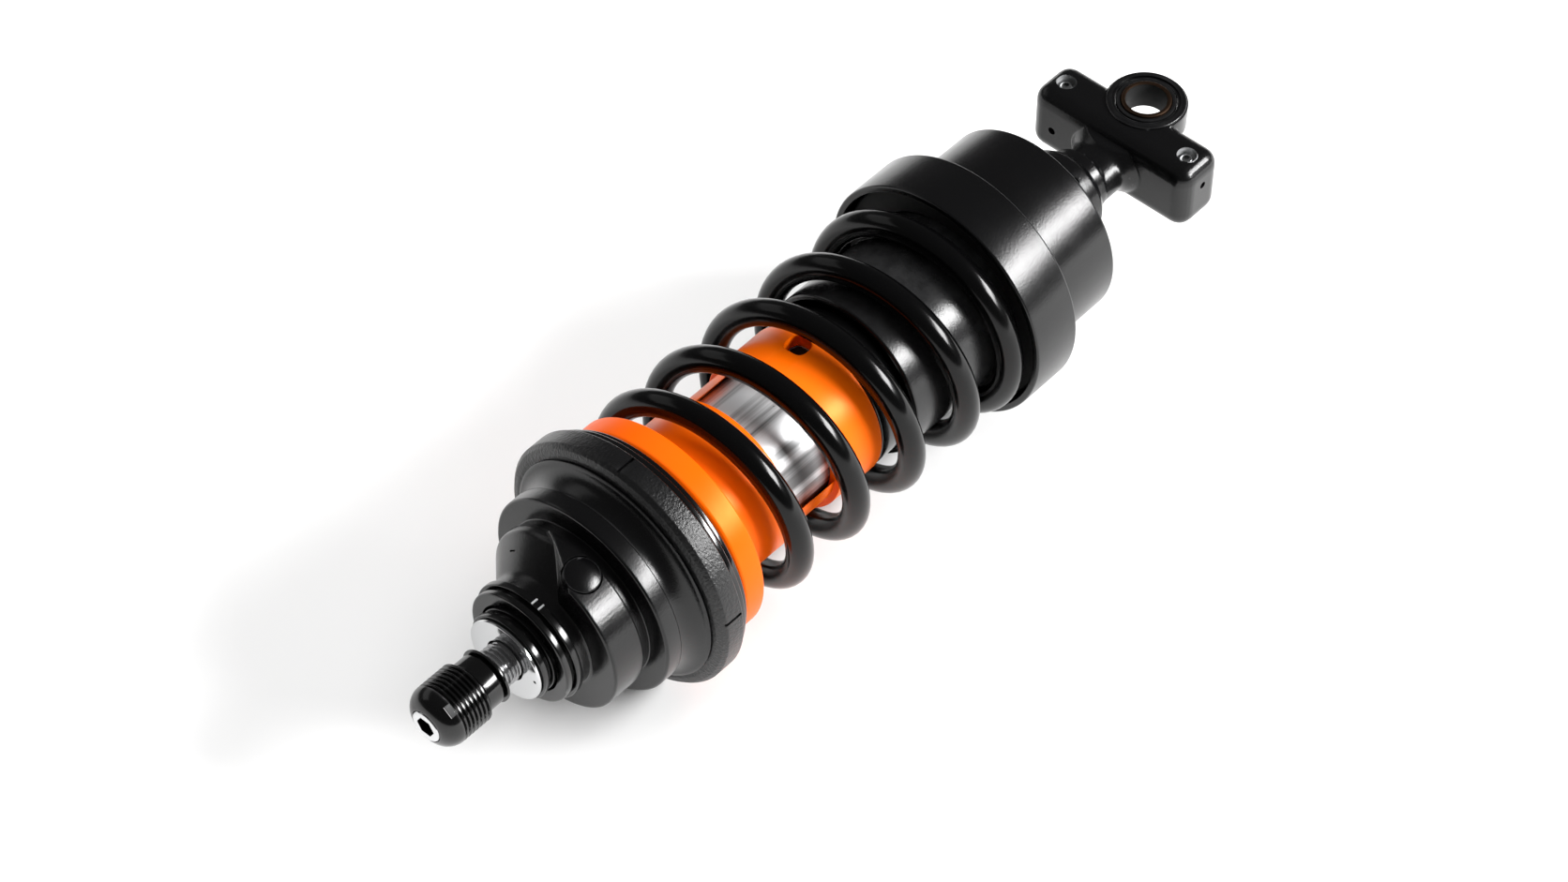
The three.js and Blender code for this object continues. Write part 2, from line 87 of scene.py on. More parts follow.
class Effects:
    """Shader node groups that several finishes share, each built once."""

    _built: dict[str, bpy.types.NodeTree] = {}

    @classmethod
    def _new(cls, name: str, inputs: dict[str, float], outputs: tuple[str, ...]) -> bpy.types.NodeTree:
        """Starts a node group.

        Args:
            name: the group's name.
            inputs: each input's name and default value.
            outputs: the names of its value outputs.

        Returns:
            The empty group, with its input and output nodes in place.
        """
        tree = bpy.data.node_groups.new(name, "ShaderNodeTree")
        for label, value in inputs.items():
            socket = tree.interface.new_socket(label, in_out="INPUT", socket_type="NodeSocketFloat")
            socket.default_value = value
        for label in outputs:
            tree.interface.new_socket(label, in_out="OUTPUT", socket_type="NodeSocketFloat")
        tree.nodes.new("NodeGroupInput").name = "In"
        tree.nodes.new("NodeGroupOutput").name = "Out"
        cls._built[name] = tree
        return tree

    @classmethod
    def grain(cls) -> bpy.types.NodeTree:
        """Fine grain over broad, cloudy unevenness: outputs Fine and Broad, each 0 to 1."""
        if "surface_grain" in cls._built:
            return cls._built["surface_grain"]
        tree = cls._new("surface_grain", {"Fine Scale": 2500.0, "Broad Scale": 60.0}, ("Fine", "Broad"))
        link = tree.links.new
        coords = tree.nodes.new("ShaderNodeTexCoord")
        for label, detail in (("Fine", 3.0), ("Broad", 4.0)):
            noise = tree.nodes.new("ShaderNodeTexNoise")
            noise.inputs["Detail"].default_value = detail
            noise.inputs["Roughness"].default_value = 0.6
            link(coords.outputs["Object"], noise.inputs["Vector"])
            link(tree.nodes["In"].outputs[f"{label} Scale"], noise.inputs["Scale"])
            link(noise.outputs["Fac"], tree.nodes["Out"].inputs[label])
        return tree

    @classmethod
    def turning(cls) -> bpy.types.NodeTree:
        """Tool marks left by turning about the shock's axis: output Height, 0 to 1."""
        if "turning_marks" in cls._built:
            return cls._built["turning_marks"]
        tree = cls._new("turning_marks", {"Scale": 3000.0}, ("Height",))
        link = tree.links.new
        coords = tree.nodes.new("ShaderNodeTexCoord")
        along = tree.nodes.new("ShaderNodeVectorMath")
        along.operation = "MULTIPLY"
        along.inputs[1].default_value = (1.0, 0.004, 0.004)
        link(coords.outputs["Object"], along.inputs[0])
        noise = tree.nodes.new("ShaderNodeTexNoise")
        noise.inputs["Detail"].default_value = 2.0
        link(along.outputs[0], noise.inputs["Vector"])
        link(tree.nodes["In"].outputs["Scale"], noise.inputs["Scale"])
        link(noise.outputs["Fac"], tree.nodes["Out"].inputs["Height"])
        return tree

    @classmethod
    def streaks_and_reflections(cls) -> bpy.types.NodeTree:
        """Polishing streaks along the shock's axis, also standing in as painted reflection bands of a
        polished cylinder: output Mask, 0 to 1.
        """
        if "streaks_and_reflection_bands" in cls._built:
            return cls._built["streaks_and_reflection_bands"]
        tree = cls._new("streaks_and_reflection_bands", {"Scale": 300.0}, ("Mask",))
        link = tree.links.new
        coords = tree.nodes.new("ShaderNodeTexCoord")
        across = tree.nodes.new("ShaderNodeVectorMath")
        across.operation = "MULTIPLY"
        across.inputs[1].default_value = (0.03, 1.0, 1.0)
        link(coords.outputs["Object"], across.inputs[0])
        noise = tree.nodes.new("ShaderNodeTexNoise")
        noise.inputs["Detail"].default_value = 3.0
        link(across.outputs[0], noise.inputs["Vector"])
        link(tree.nodes["In"].outputs["Scale"], noise.inputs["Scale"])
        sharpen = tree.nodes.new("ShaderNodeMapRange")
        sharpen.inputs["From Min"].default_value = 0.42
        sharpen.inputs["From Max"].default_value = 0.6
        link(noise.outputs["Fac"], sharpen.inputs["Value"])
        link(sharpen.outputs["Result"], tree.nodes["Out"].inputs["Mask"])
        return tree

    @classmethod
    def edge(cls) -> bpy.types.NodeTree:
        """Sharp outer edges, rubbed on most finishes and lit as painted highlights on the black gloss: output
        Mask, 0 on flats and up to 1 on the sharpest edges.
        """
        if "edge_wear_and_sheen" in cls._built:
            return cls._built["edge_wear_and_sheen"]
        tree = cls._new("edge_wear_and_sheen", {"Start": 0.52, "End": 0.6}, ("Mask",))
        link = tree.links.new
        geometry = tree.nodes.new("ShaderNodeNewGeometry")
        ramp = tree.nodes.new("ShaderNodeMapRange")
        link(geometry.outputs["Pointiness"], ramp.inputs["Value"])
        link(tree.nodes["In"].outputs["Start"], ramp.inputs["From Min"])
        link(tree.nodes["In"].outputs["End"], ramp.inputs["From Max"])
        coords = tree.nodes.new("ShaderNodeTexCoord")
        noise = tree.nodes.new("ShaderNodeTexNoise")
        noise.inputs["Scale"].default_value = 350.0
        noise.inputs["Detail"].default_value = 5.0
        link(coords.outputs["Object"], noise.inputs["Vector"])
        breakup = tree.nodes.new("ShaderNodeMath")
        breakup.operation = "MULTIPLY"
        link(ramp.outputs["Result"], breakup.inputs[0])
        link(noise.outputs["Fac"], breakup.inputs[1])
        link(breakup.outputs[0], tree.nodes["Out"].inputs["Mask"])
        return tree


@dataclass(frozen=True)
class Finish:
    """One surface finish, made as a procedural material the first time it is asked for.

    Attributes:
        name: the material's name, which is also the record's slot.
        color: base colour, linear RGB.
        wear_and_sheen_color: colour of rubbed edges, and on the black gloss of painted edge highlights,
            linear RGB.
        roughness: lowest and highest roughness.
        metallic: 0 for paint and plastic, 1 for bare metal.
        tint: how much the broad clouding darkens the colour.
        grain_scale: cells of fine grain per metre.
        grain_depth: bump distance of the grain in millimetres.
        turned: bump distance of turning marks in millimetres.
        coat: clear-coat weight.
        coat_roughness: clear-coat roughness.
        specular: how strongly a painted or plastic surface mirrors; 0.5 is ordinary.
        streak_and_reflection_share: how much the long polishing streaks and painted reflection bands darken
            the colour.
        wear_and_sheen: how strongly edges show that edge colour.
    """

    name: str
    color: tuple[float, float, float]
    wear_and_sheen_color: tuple[float, float, float]
    roughness: tuple[float, float] = (0.3, 0.4)
    metallic: float = 0.0
    tint: float = 0.12
    grain_scale: float = 2500.0
    grain_depth: float = 0.004
    turned: float = 0.0
    coat: float = 0.0
    coat_roughness: float = 0.05
    specular: float = 0.5
    streak_and_reflection_share: float = 0.0
    wear_and_sheen: float = 0.4

    def material(self) -> bpy.types.Material:
        """The finish's material, built once and shared."""
        return bpy.data.materials.get(self.name + "_finish") or self._build()

    def _build(self) -> bpy.types.Material:
        """Builds the node tree.

        Returns:
            The new material.
        """
        material = bpy.data.materials.new(self.name + "_finish")
        material.use_nodes = True
        nodes, link = material.node_tree.nodes, material.node_tree.links.new
        shader = nodes["Principled BSDF"]
        shader.inputs["Metallic"].default_value = self.metallic
        shader.inputs["Coat Weight"].default_value = self.coat
        shader.inputs["Coat Roughness"].default_value = self.coat_roughness
        shader.inputs["Specular IOR Level"].default_value = self.specular
        grain = nodes.new("ShaderNodeGroup")
        grain.node_tree = Effects.grain()
        grain.inputs["Fine Scale"].default_value = self.grain_scale
        edge = nodes.new("ShaderNodeGroup")
        edge.node_tree = Effects.edge()
        clouded = self._mix(nodes, link, grain.outputs["Broad"], self.color, self._shaded(self.tint))
        # Lengthwise dark bands: polishing streaks, and painted reflection bands of the polished tube.
        if self.streak_and_reflection_share > 0:
            streaks_and_reflections = nodes.new("ShaderNodeGroup")
            streaks_and_reflections.node_tree = Effects.streaks_and_reflections()
            clouded = self._mix(nodes, link, streaks_and_reflections.outputs["Mask"], clouded, self._shaded(self.streak_and_reflection_share))
        # Edge colour: rubbed edges, and on the black gloss a painted highlight on edges and crests.
        strength = nodes.new("ShaderNodeMath")
        strength.operation = "MULTIPLY"
        strength.inputs[1].default_value = self.wear_and_sheen
        link(edge.outputs["Mask"], strength.inputs[0])
        wear_and_sheen_color = self._mix(nodes, link, strength.outputs[0], clouded, self.wear_and_sheen_color)
        link(wear_and_sheen_color, shader.inputs["Base Color"])
        rough = nodes.new("ShaderNodeMapRange")
        rough.inputs["From Min"].default_value = 0.35
        rough.inputs["From Max"].default_value = 0.65
        rough.inputs["To Min"].default_value = self.roughness[0]
        rough.inputs["To Max"].default_value = self.roughness[1]
        link(grain.outputs["Broad"], rough.inputs["Value"])
        link(rough.outputs["Result"], shader.inputs["Roughness"])
        normal = self._bump(nodes, link, grain.outputs["Fine"], self.grain_depth, None)
        if self.turned > 0:
            turning = nodes.new("ShaderNodeGroup")
            turning.node_tree = Effects.turning()
            normal = self._bump(nodes, link, turning.outputs["Height"], self.turned, normal)
        link(normal.outputs["Normal"], shader.inputs["Normal"])
        return material

    def _shaded(self, amount: float) -> tuple[float, float, float]:
        """The base colour, darker by a share of itself."""
        return tuple(channel * (1 - amount) for channel in self.color)

    @staticmethod
    def _mix(nodes, link, factor, first, second) -> bpy.types.NodeSocket:
        """Adds a colour mix whose two colours are RGB tuples or sockets.

        Returns:
            The mixed colour's socket.
        """
        mix = nodes.new("ShaderNodeMix")
        mix.data_type = "RGBA"
        link(factor, mix.inputs["Factor"])
        for socket, source in ((mix.inputs[6], first), (mix.inputs[7], second)):
            if isinstance(source, bpy.types.NodeSocket):
                link(source, socket)
            else:
                socket.default_value = (*source, 1.0)
        return mix.outputs[2]

    @staticmethod
    def _bump(nodes, link, height, depth_mm: float, below) -> bpy.types.ShaderNodeBump:
        """Adds a bump over another one, if there is one below.

        Returns:
            The bump node.
        """
        bump = nodes.new("ShaderNodeBump")
        bump.inputs["Strength"].default_value = 1.0
        bump.inputs["Distance"].default_value = depth_mm * MM
        link(height, bump.inputs["Height"])
        if below is not None:
            link(below.outputs["Normal"], bump.inputs["Normal"])
        return bump


BLACK_ANODISED = Finish(
    "black_anodised", (0.0018, 0.0018, 0.002), (0.09, 0.09, 0.092),
    roughness=(0.21, 0.27), grain_scale=1900.0, grain_depth=0.03, specular=0.4, wear_and_sheen=0.5,
)
# The black gloss's pale edge colour, at a strong share, paints bright highlights on thread crests and ring
# edges.
BLACK_GLOSS = Finish(
    "black_gloss", (0.0015, 0.0015, 0.0016), (0.2, 0.2, 0.202),
    roughness=(0.12, 0.2), grain_scale=900.0, grain_depth=0.002, specular=0.5, wear_and_sheen=0.7,
)
SPRING_BLACK = Finish(
    "spring_black", (0.0012, 0.0012, 0.0013), (0.006, 0.006, 0.006),
    roughness=(0.13, 0.19), grain_scale=700.0, grain_depth=0.004, specular=0.24, wear_and_sheen=0.1,
)
GREY_TEXTURED = Finish(
    "grey_textured", (0.004, 0.004, 0.0043), (0.07, 0.07, 0.072),
    roughness=(0.28, 0.42), grain_scale=1400.0, grain_depth=0.2, tint=0.3, specular=0.45, wear_and_sheen=0.5,
)
ORANGE_ANODISED = Finish(
    "orange_anodised", (0.97, 0.145, 0.0), (1.0, 0.3, 0.03),
    roughness=(0.32, 0.4), metallic=0.12, grain_depth=0.001, turned=0.001,
    tint=0.05, specular=0.14, wear_and_sheen=0.05,
)
ORANGE_PLASTIC = Finish(
    "orange_plastic", (0.93, 0.118, 0.0), (1.0, 0.26, 0.03),
    roughness=(0.32, 0.44), metallic=0.15, grain_scale=1500.0, grain_depth=0.008,
    tint=0.08, specular=0.1, wear_and_sheen=0.2,
)
CHROME = Finish(
    "chrome", (0.58, 0.585, 0.59), (0.8, 0.8, 0.8),
    roughness=(0.08, 0.14), metallic=1.0, grain_depth=0.0005, tint=0.03, wear_and_sheen=0.1,
)
# The polished steel's lengthwise dark bands are partly polishing streaks and partly painted reflection bands.
POLISHED_STEEL = Finish(
    "polished_steel", (0.8, 0.81, 0.82), (0.9, 0.9, 0.9),
    roughness=(0.35, 0.38), metallic=0.6, grain_depth=0.0008, streak_and_reflection_share=0.75, tint=0.05, wear_and_sheen=0.1,
)
DARK_STEEL = Finish(
    "dark_steel", (0.3, 0.3, 0.304), (0.6, 0.6, 0.61),
    roughness=(0.16, 0.22), metallic=0.85, grain_depth=0.001, turned=0.001, tint=0.1, wear_and_sheen=0.7,
)
RAW_ALUMINIUM = Finish(
    "raw_aluminium", (0.62, 0.62, 0.64), (0.8, 0.8, 0.8),
    roughness=(0.28, 0.4), metallic=1.0, grain_depth=0.002, turned=0.002, tint=0.08, wear_and_sheen=0.2,
)
BRONZE = Finish(
    "bronze", (0.1, 0.058, 0.036), (0.4, 0.26, 0.18),
    roughness=(0.3, 0.4), metallic=1.0, grain_depth=0.002, tint=0.2, wear_and_sheen=0.6,
)
RUBBER = Finish(
    "rubber", (0.008, 0.008, 0.008), (0.02, 0.02, 0.02),
    roughness=(0.6, 0.75), grain_scale=1800.0, grain_depth=0.01, specular=0.3, wear_and_sheen=0.3,
)


# ---- modelling -----------------------------------------------------------------


class Bench:
    """The modelling operations that every sub-assembly uses."""

    @staticmethod
    def clear_selection() -> None:
        """Leaves object mode with nothing selected."""
        if bpy.context.object and bpy.context.object.mode != "OBJECT":
            bpy.ops.object.mode_set(mode="OBJECT")
        bpy.ops.object.select_all(action="DESELECT")

    @staticmethod
    def take(piece: bpy.types.Object) -> None:
        """Makes the piece the only selected and active object."""
        Bench.clear_selection()
        piece.select_set(True)
        bpy.context.view_layer.objects.active = piece

    @staticmethod
    def settle(piece: bpy.types.Object, smooth_angle: float = 32.0) -> bpy.types.Object:
        """Applies the place, merges doubles, turns faces outwards and shades the piece.

        Args:
            piece: the object to finish.
            smooth_angle: edges sharper than this many degrees stay crisp.

        Returns:
            The same object.
        """
        Bench.take(piece)
        bpy.ops.object.transform_apply(location=True, rotation=True, scale=True)
        bpy.ops.object.mode_set(mode="EDIT")
        bpy.ops.mesh.select_all(action="SELECT")
        bpy.ops.mesh.remove_doubles(threshold=1e-6)
        bpy.ops.mesh.dissolve_degenerate(threshold=1e-6)
        bpy.ops.mesh.normals_make_consistent(inside=False)
        bpy.ops.object.mode_set(mode="OBJECT")
        bpy.ops.object.shade_smooth_by_angle(angle=math.radians(smooth_angle))
        return piece

    @staticmethod
    def finish_modifiers(piece: bpy.types.Object) -> None:
        """Applies every modifier of the piece, in order."""
        Bench.take(piece)
        for modifier in list(piece.modifiers):
            bpy.ops.object.modifier_apply(modifier=modifier.name)

    @staticmethod
    def boolean(piece: bpy.types.Object, tool: bpy.types.Object, operation: str) -> None:
        """Joins or cuts the piece with a tool, which is used up.

        Args:
            piece: the piece that changes.
            tool: the other solid.
            operation: UNION, DIFFERENCE or INTERSECT.
        """
        modifier = piece.modifiers.new(operation.lower(), "BOOLEAN")
        modifier.operation = operation
        modifier.solver = "EXACT"
        modifier.object = tool
        Bench.finish_modifiers(piece)
        bpy.data.objects.remove(tool)

    @staticmethod
    def soften(piece: bpy.types.Object, width: float, angle: float = 40.0, segments: int = 2) -> None:
        """Bevels the piece's sharp edges.

        Args:
            piece: the piece.
            width: bevel width in millimetres.
            angle: edges sharper than this many degrees are bevelled.
            segments: steps in the bevel.
        """
        bevel = piece.modifiers.new("bevel", "BEVEL")
        bevel.width = width * MM
        bevel.segments = segments
        bevel.limit_method = "ANGLE"
        bevel.angle_limit = math.radians(angle)
        bevel.harden_normals = False
        bevel.use_clamp_overlap = True
        Bench.finish_modifiers(piece)

    @staticmethod
    def blend_skin(piece: bpy.types.Object, voxel: float, rounds: int) -> None:
        """Turns joined solids into one skin with soft blends between them.

        Args:
            piece: the piece.
            voxel: cell size in millimetres.
            rounds: smoothing passes.
        """
        remesh = piece.modifiers.new("skin", "REMESH")
        remesh.mode = "VOXEL"
        remesh.voxel_size = voxel * MM
        smooth = piece.modifiers.new("smooth", "SMOOTH")
        smooth.factor = 0.5
        smooth.iterations = rounds
        Bench.finish_modifiers(piece)

    @staticmethod
    def outline(corners: list[tuple[float, ...]], closed: bool) -> list[Vector]:
        """Rounds the corners of a turned profile.

        Args:
            corners: station, radius and, where the corner is rounded, its fillet radius, in millimetres.
            closed: whether the last corner joins the first.

        Returns:
            The profile's points as (station, radius) in metres, before the datum is added.
        """
        count = len(corners)
        points = []
        for i, corner in enumerate(corners):
            here = Vector(corner[:2])
            fillet = corner[2] if len(corner) > 2 else 0.0
            ends = not closed and i in (0, count - 1)
            if fillet <= 0 or ends:
                points.append(here * MM)
                continue
            before = Vector(corners[i - 1][:2]) - here
            after = Vector(corners[(i + 1) % count][:2]) - here
            shortest = min(before.length, after.length)
            before.normalize()
            after.normalize()
            half = before.angle(after) / 2
            fillet = min(fillet, FILLET_SHARE * math.tan(half) * shortest)
            centre = here + (before + after).normalized() * (fillet / math.sin(half))
            start = here + before * (fillet / math.tan(half)) - centre
            stop = here + after * (fillet / math.tan(half)) - centre
            sweep = start.angle_signed(stop)
            steps = max(2, round(abs(math.degrees(sweep)) / 12))
            for k in range(steps + 1):
                points.append((centre + Matrix.Rotation(-sweep * k / steps, 2) @ start) * MM)
        return points

    @staticmethod
    def turned(
        name: str, corners: list[tuple[float, ...]], sides: int = SIDES, smooth_angle: float = 32.0
    ) -> bpy.types.Object:
        """Spins a profile about the shock's axis.

        Args:
            name: the piece's name.
            corners: the profile, as for outline; it is open where it starts and ends on the axis.
            sides: steps round the axis.
            smooth_angle: edges sharper than this many degrees stay crisp.

        Returns:
            The finished solid of revolution.
        """
        on_axis = corners[0][1] == 0.0
        points = Bench.outline(corners, closed=not on_axis)
        Bench.clear_selection()
        bpy.ops.mesh.primitive_circle_add(vertices=len(points), radius=MM)
        piece = bpy.context.object
        piece.name = name
        for vertex, point in zip(piece.data.vertices, points):
            vertex.co = (DATUM_X + point.x, 0.0, AXIS_Z + point.y)
        bpy.ops.object.mode_set(mode="EDIT")
        if on_axis:
            bpy.ops.mesh.select_all(action="DESELECT")
            bpy.ops.object.mode_set(mode="OBJECT")
            last = len(points) - 1
            for line in piece.data.edges:
                line.select = set(line.vertices) == {0, last}
            bpy.ops.object.mode_set(mode="EDIT")
            bpy.ops.mesh.delete(type="EDGE")
        bpy.ops.mesh.select_all(action="SELECT")
        bpy.ops.mesh.spin(steps=sides, angle=2 * math.pi, center=(0.0, 0.0, AXIS_Z), axis=(1.0, 0.0, 0.0))
        bpy.ops.object.mode_set(mode="OBJECT")
        return Bench.settle(piece, smooth_angle)

    @staticmethod
    def rod(
        name: str, station: float, angle: float, low: float, high: float, radius: float, bevel: float = 0.0
    ) -> bpy.types.Object:
        """A short round bar that points out from the axis.

        Args:
            name: the piece's name.
            station: where it stands along the axis, in millimetres.
            angle: its direction about the axis from +Y towards +Z, in radians.
            low: radius at which it starts, in millimetres.
            high: radius at which it ends, in millimetres.
            radius: its own radius in millimetres.
            bevel: bevel of its outer rim in millimetres.

        Returns:
            The finished bar.
        """
        Bench.clear_selection()
        middle = (low + high) / 2 * MM
        out = Vector((0.0, math.cos(angle), math.sin(angle)))
        bpy.ops.mesh.primitive_cylinder_add(
            vertices=FINE_SIDES, radius=radius * MM, depth=(high - low) * MM,
            location=Vector((DATUM_X + station * MM, 0.0, AXIS_Z)) + out * middle,
            rotation=(angle - math.pi / 2, 0.0, 0.0),
        )
        piece = bpy.context.object
        piece.name = name
        Bench.settle(piece)
        if bevel > 0:
            Bench.soften(piece, bevel, angle=60.0, segments=3)
        return Bench.settle(piece)

    @staticmethod
    def post(
        name: str, x: float, y: float, low: float, high: float, radius: float, sides: int = FINE_SIDES
    ) -> bpy.types.Object:
        """An upright round bar.

        Args:
            name: the piece's name.
            x: its station in millimetres.
            y: how far it stands to the side, in millimetres.
            low: lower end above the axis, in millimetres.
            high: upper end above the axis, in millimetres.
            radius: its radius in millimetres.
            sides: steps round it.

        Returns:
            The finished bar.
        """
        Bench.clear_selection()
        bpy.ops.mesh.primitive_cylinder_add(
            vertices=sides, radius=radius * MM, depth=(high - low) * MM,
            location=(DATUM_X + x * MM, y * MM, AXIS_Z + (low + high) / 2 * MM),
        )
        piece = bpy.context.object
        piece.name = name
        return Bench.settle(piece)

    @staticmethod
    def bar(
        name: str, centre: tuple[float, float, float], size: tuple[float, float, float], turn: float = 0.0
    ) -> bpy.types.Object:
        """A box whose centre and sizes are in millimetres, turned about the shock's axis.

        Args:
            name: the piece's name.
            centre: station, sideways place and height above the axis, before it is turned.
            size: full sizes along X, Y and Z.
            turn: rotation about the shock's axis, in radians.

        Returns:
            The finished box.
        """
        Bench.clear_selection()
        bpy.ops.mesh.primitive_cube_add(size=1.0, location=(0.0, 0.0, 0.0))
        piece = bpy.context.object
        piece.name = name
        place = Matrix.Translation((DATUM_X, 0.0, AXIS_Z)) @ Matrix.Rotation(turn, 4, "X")
        place @= Matrix.Translation(Vector(centre) * MM) @ Matrix.Diagonal((*(Vector(size) * MM), 1.0))
        piece.matrix_world = place
        return Bench.settle(piece)

    @staticmethod
    def dress(piece: bpy.types.Object, finish: Finish) -> None:
        """Gives the piece its only finish."""
        piece.data.materials.clear()
        piece.data.materials.append(finish.material())

    @staticmethod
    def dress_part(piece: bpy.types.Object, finish: Finish, inside: Callable[[Vector], bool]) -> None:
        """Gives some of the piece's faces a finish of their own.

        Args:
            piece: a dressed piece.
            finish: the finish of the chosen faces.
            inside: tells, from a face's middle in millimetres from the datum on the axis, if it is chosen.
        """
        piece.data.materials.append(finish.material())
        datum = Vector((DATUM_X, 0.0, AXIS_Z))
        for face in piece.data.polygons:
            if inside((face.center - datum) / MM):
                face.material_index = len(piece.data.materials) - 1

    @staticmethod
    def fit(piece: bpy.types.Object, finish: Finish, body: Body, *nodes: str) -> bpy.types.Object:
        """Dresses the piece, makes it ride on its body and stand for its CAD nodes.

        Args:
            piece: the finished piece.
            finish: its finish.
            body: the body it moves with.
            *nodes: the CAD nodes that it replaces.

        Returns:
            The same object.
        """
        Bench.dress(piece, finish)
        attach(piece, body.value)
        if nodes:
            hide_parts(*nodes)
        LOG.info("%s: %d faces on %s", piece.name, len(piece.data.polygons), body.value)
        return piece


def arc(
    station: float, radius: float, size: float, start: float, stop: float, steps: int
) -> list[tuple[float, float]]:
    """Points of an arc in a turned profile.

    Args:
        station: the arc centre's station, in millimetres.
        radius: the arc centre's distance from the axis, in millimetres.
        size: the arc's own radius, in millimetres.
        start: first angle in degrees, from +X towards the outside.
        stop: last angle in degrees.
        steps: how many steps the arc is drawn in.

    Returns:
        The points as (station, radius).
    """
    angles = (math.radians(start + (stop - start) * i / steps) for i in range(steps + 1))
    return [(station + size * math.cos(a), radius + size * math.sin(a)) for a in angles]


# ---- the stud end --------------------------------------------------------------


@dataclass
class StudEnd:
    """The threaded stud, its adjuster and the washer stack behind it."""

    tip: float = -113.0
    crest: float = 7.5
    root: float = 6.85
    pitch: float = 1.14
    ridges: int = 7
    washer: tuple[float, float, float] = (-89.1, -88.3, 10.3)
    dust_ring: tuple[float, float, float] = (-88.0, -86.4, 10.9)

    def build(self) -> None:
        """Builds and fits every piece of the stud end."""
        Bench.fit(self._cap(), BLACK_GLOSS, Body.DAMPER, "threaded_cap")
        Bench.fit(self._index_tab(), CHROME, Body.DAMPER)
        face = Bench.fit(self._hex(), CHROME, Body.ADJUSTER, "adjuster_hex")
        # The socket's inner faces are dressed black: painted shade inside the socket.
        Bench.dress_part(
            face, BLACK_ANODISED, lambda at: math.hypot(at.y, at.z) < 2.45 and 0.15 < at.x - self.tip < 3.5,
        )
        shaft = Bench.fit(self._shaft(), DARK_STEEL, Body.DAMPER, "stud_shaft")
        Bench.dress_part(shaft, BLACK_GLOSS, lambda at: at.x < -94.15)
        Bench.fit(self._washer(), CHROME, Body.DAMPER, "seat_washer")
        left, right, outer = self.dust_ring
        ring = [(left, 5.2), (left, outer, 0.3), (right, outer, 0.3), (right, 5.2)]
        Bench.fit(Bench.turned("dust_ring_shell", ring), BLACK_GLOSS, Body.DAMPER, "dust_ring")
        Bench.fit(self._bearing(), BLACK_ANODISED, Body.DAMPER, "stud_bearing")
        Bench.fit(self._retainer(), BLACK_GLOSS, Body.DAMPER, "retainer_nut")
        Bench.fit(self._retainer_marks(), POLISHED_STEEL, Body.DAMPER)

    def _cap(self) -> bpy.types.Object:
        """The domed cap with its rolled thread."""
        corners: list[tuple[float, ...]] = [*arc(self.tip + 4.7, 2.9, 4.6, 165, 92, 16)]
        for i in range(self.ridges):
            x = self.tip + 4.9 + i * self.pitch
            corners += [
                (x, self.root, 0.07), (x + 0.32, self.crest, 0.08),
                (x + 0.66, self.crest, 0.08), (x + 0.98, self.root, 0.07),
            ]
        back = self.tip + 12.9
        corners += [(back, self.root, 0.2), (back, 5.3), (self.tip + 4.3, 5.3), (self.tip + 4.3, 4.3)]
        return Bench.turned("stud_cap", corners, FINE_SIDES)

    def _index_tab(self) -> bpy.types.Object:
        """The small bright pointer set into the dome."""
        turn = FACE_ANGLE - math.pi / 2 + 0.12
        tab = Bench.bar("index_tab", (self.tip + 3.6, 0.0, 7.3), (1.7, 3.0, 0.5), turn)
        Bench.soften(tab, 0.15)
        return Bench.settle(tab)

    def _hex(self) -> bpy.types.Object:
        """The adjuster's bright face with its hexagon socket."""
        corners = [(self.tip, 0.0), (self.tip, 3.9, 0.35), (self.tip + 4, 3.9, 0.2), (self.tip + 4, 0.0)]
        body = Bench.turned("adjuster_face", corners, FINE_SIDES)
        Bench.clear_selection()
        bpy.ops.mesh.primitive_cylinder_add(
            vertices=6, radius=2.5 * MM, depth=5.4 * MM, rotation=(0.0, math.pi / 2, 0.0),
            location=(DATUM_X + self.tip * MM, 0.0, AXIS_Z),
        )
        Bench.boolean(body, Bench.settle(bpy.context.object), "DIFFERENCE")
        Bench.soften(body, 0.1, angle=50.0)
        return Bench.settle(body)

    def _shaft(self) -> bpy.types.Object:
        """The stud's shaft: a collar, a thin flange and a finely ridged neck."""
        ridges: list[tuple[float, ...]] = []
        for i in range(4):
            x = -93.6 + i * 1.1
            ridges += [(x, 4.3, 0.1), (x + 0.4, 5.1, 0.15), (x + 0.8, 4.3, 0.1)]
        corners = [
            (self.tip + 4.7, 1.7), (self.tip + 4.7, 5.0), (-99.8, 5.0), (-99.8, 6.3, 0.3), (-95.7, 6.3, 0.3),
            (-95.5, 5.2), (-95.0, 5.2), (-94.9, 6.8, 0.15), (-94.3, 6.8, 0.2), (-94.1, 4.4), *ridges,
            (-89.0, 4.4), (-88.8, 4.6), (-74.9, 4.6), (-74.9, 1.7),
        ]
        return Bench.turned("stud_neck", corners, FINE_SIDES)

    def _washer(self) -> bpy.types.Object:
        """The thin bright washer, with its small hole near the rim."""
        left, right, outer = self.washer
        corners = [(left, 5.2, 0.1), (left, outer, 0.25), (right, outer, 0.25), (right, 5.2, 0.1)]
        washer = Bench.turned("seat_washer_disc", corners)
        angle = FACE_ANGLE + 1.05
        y, z = 8.9 * math.cos(angle) * MM, 8.9 * math.sin(angle) * MM
        Bench.clear_selection()
        bpy.ops.mesh.primitive_cylinder_add(
            vertices=24, radius=0.4 * MM, depth=3 * MM, rotation=(0.0, math.pi / 2, 0.0),
            location=(DATUM_X + left * MM, y, AXIS_Z + z),
        )
        Bench.boolean(washer, Bench.settle(bpy.context.object), "DIFFERENCE")
        return Bench.settle(washer)

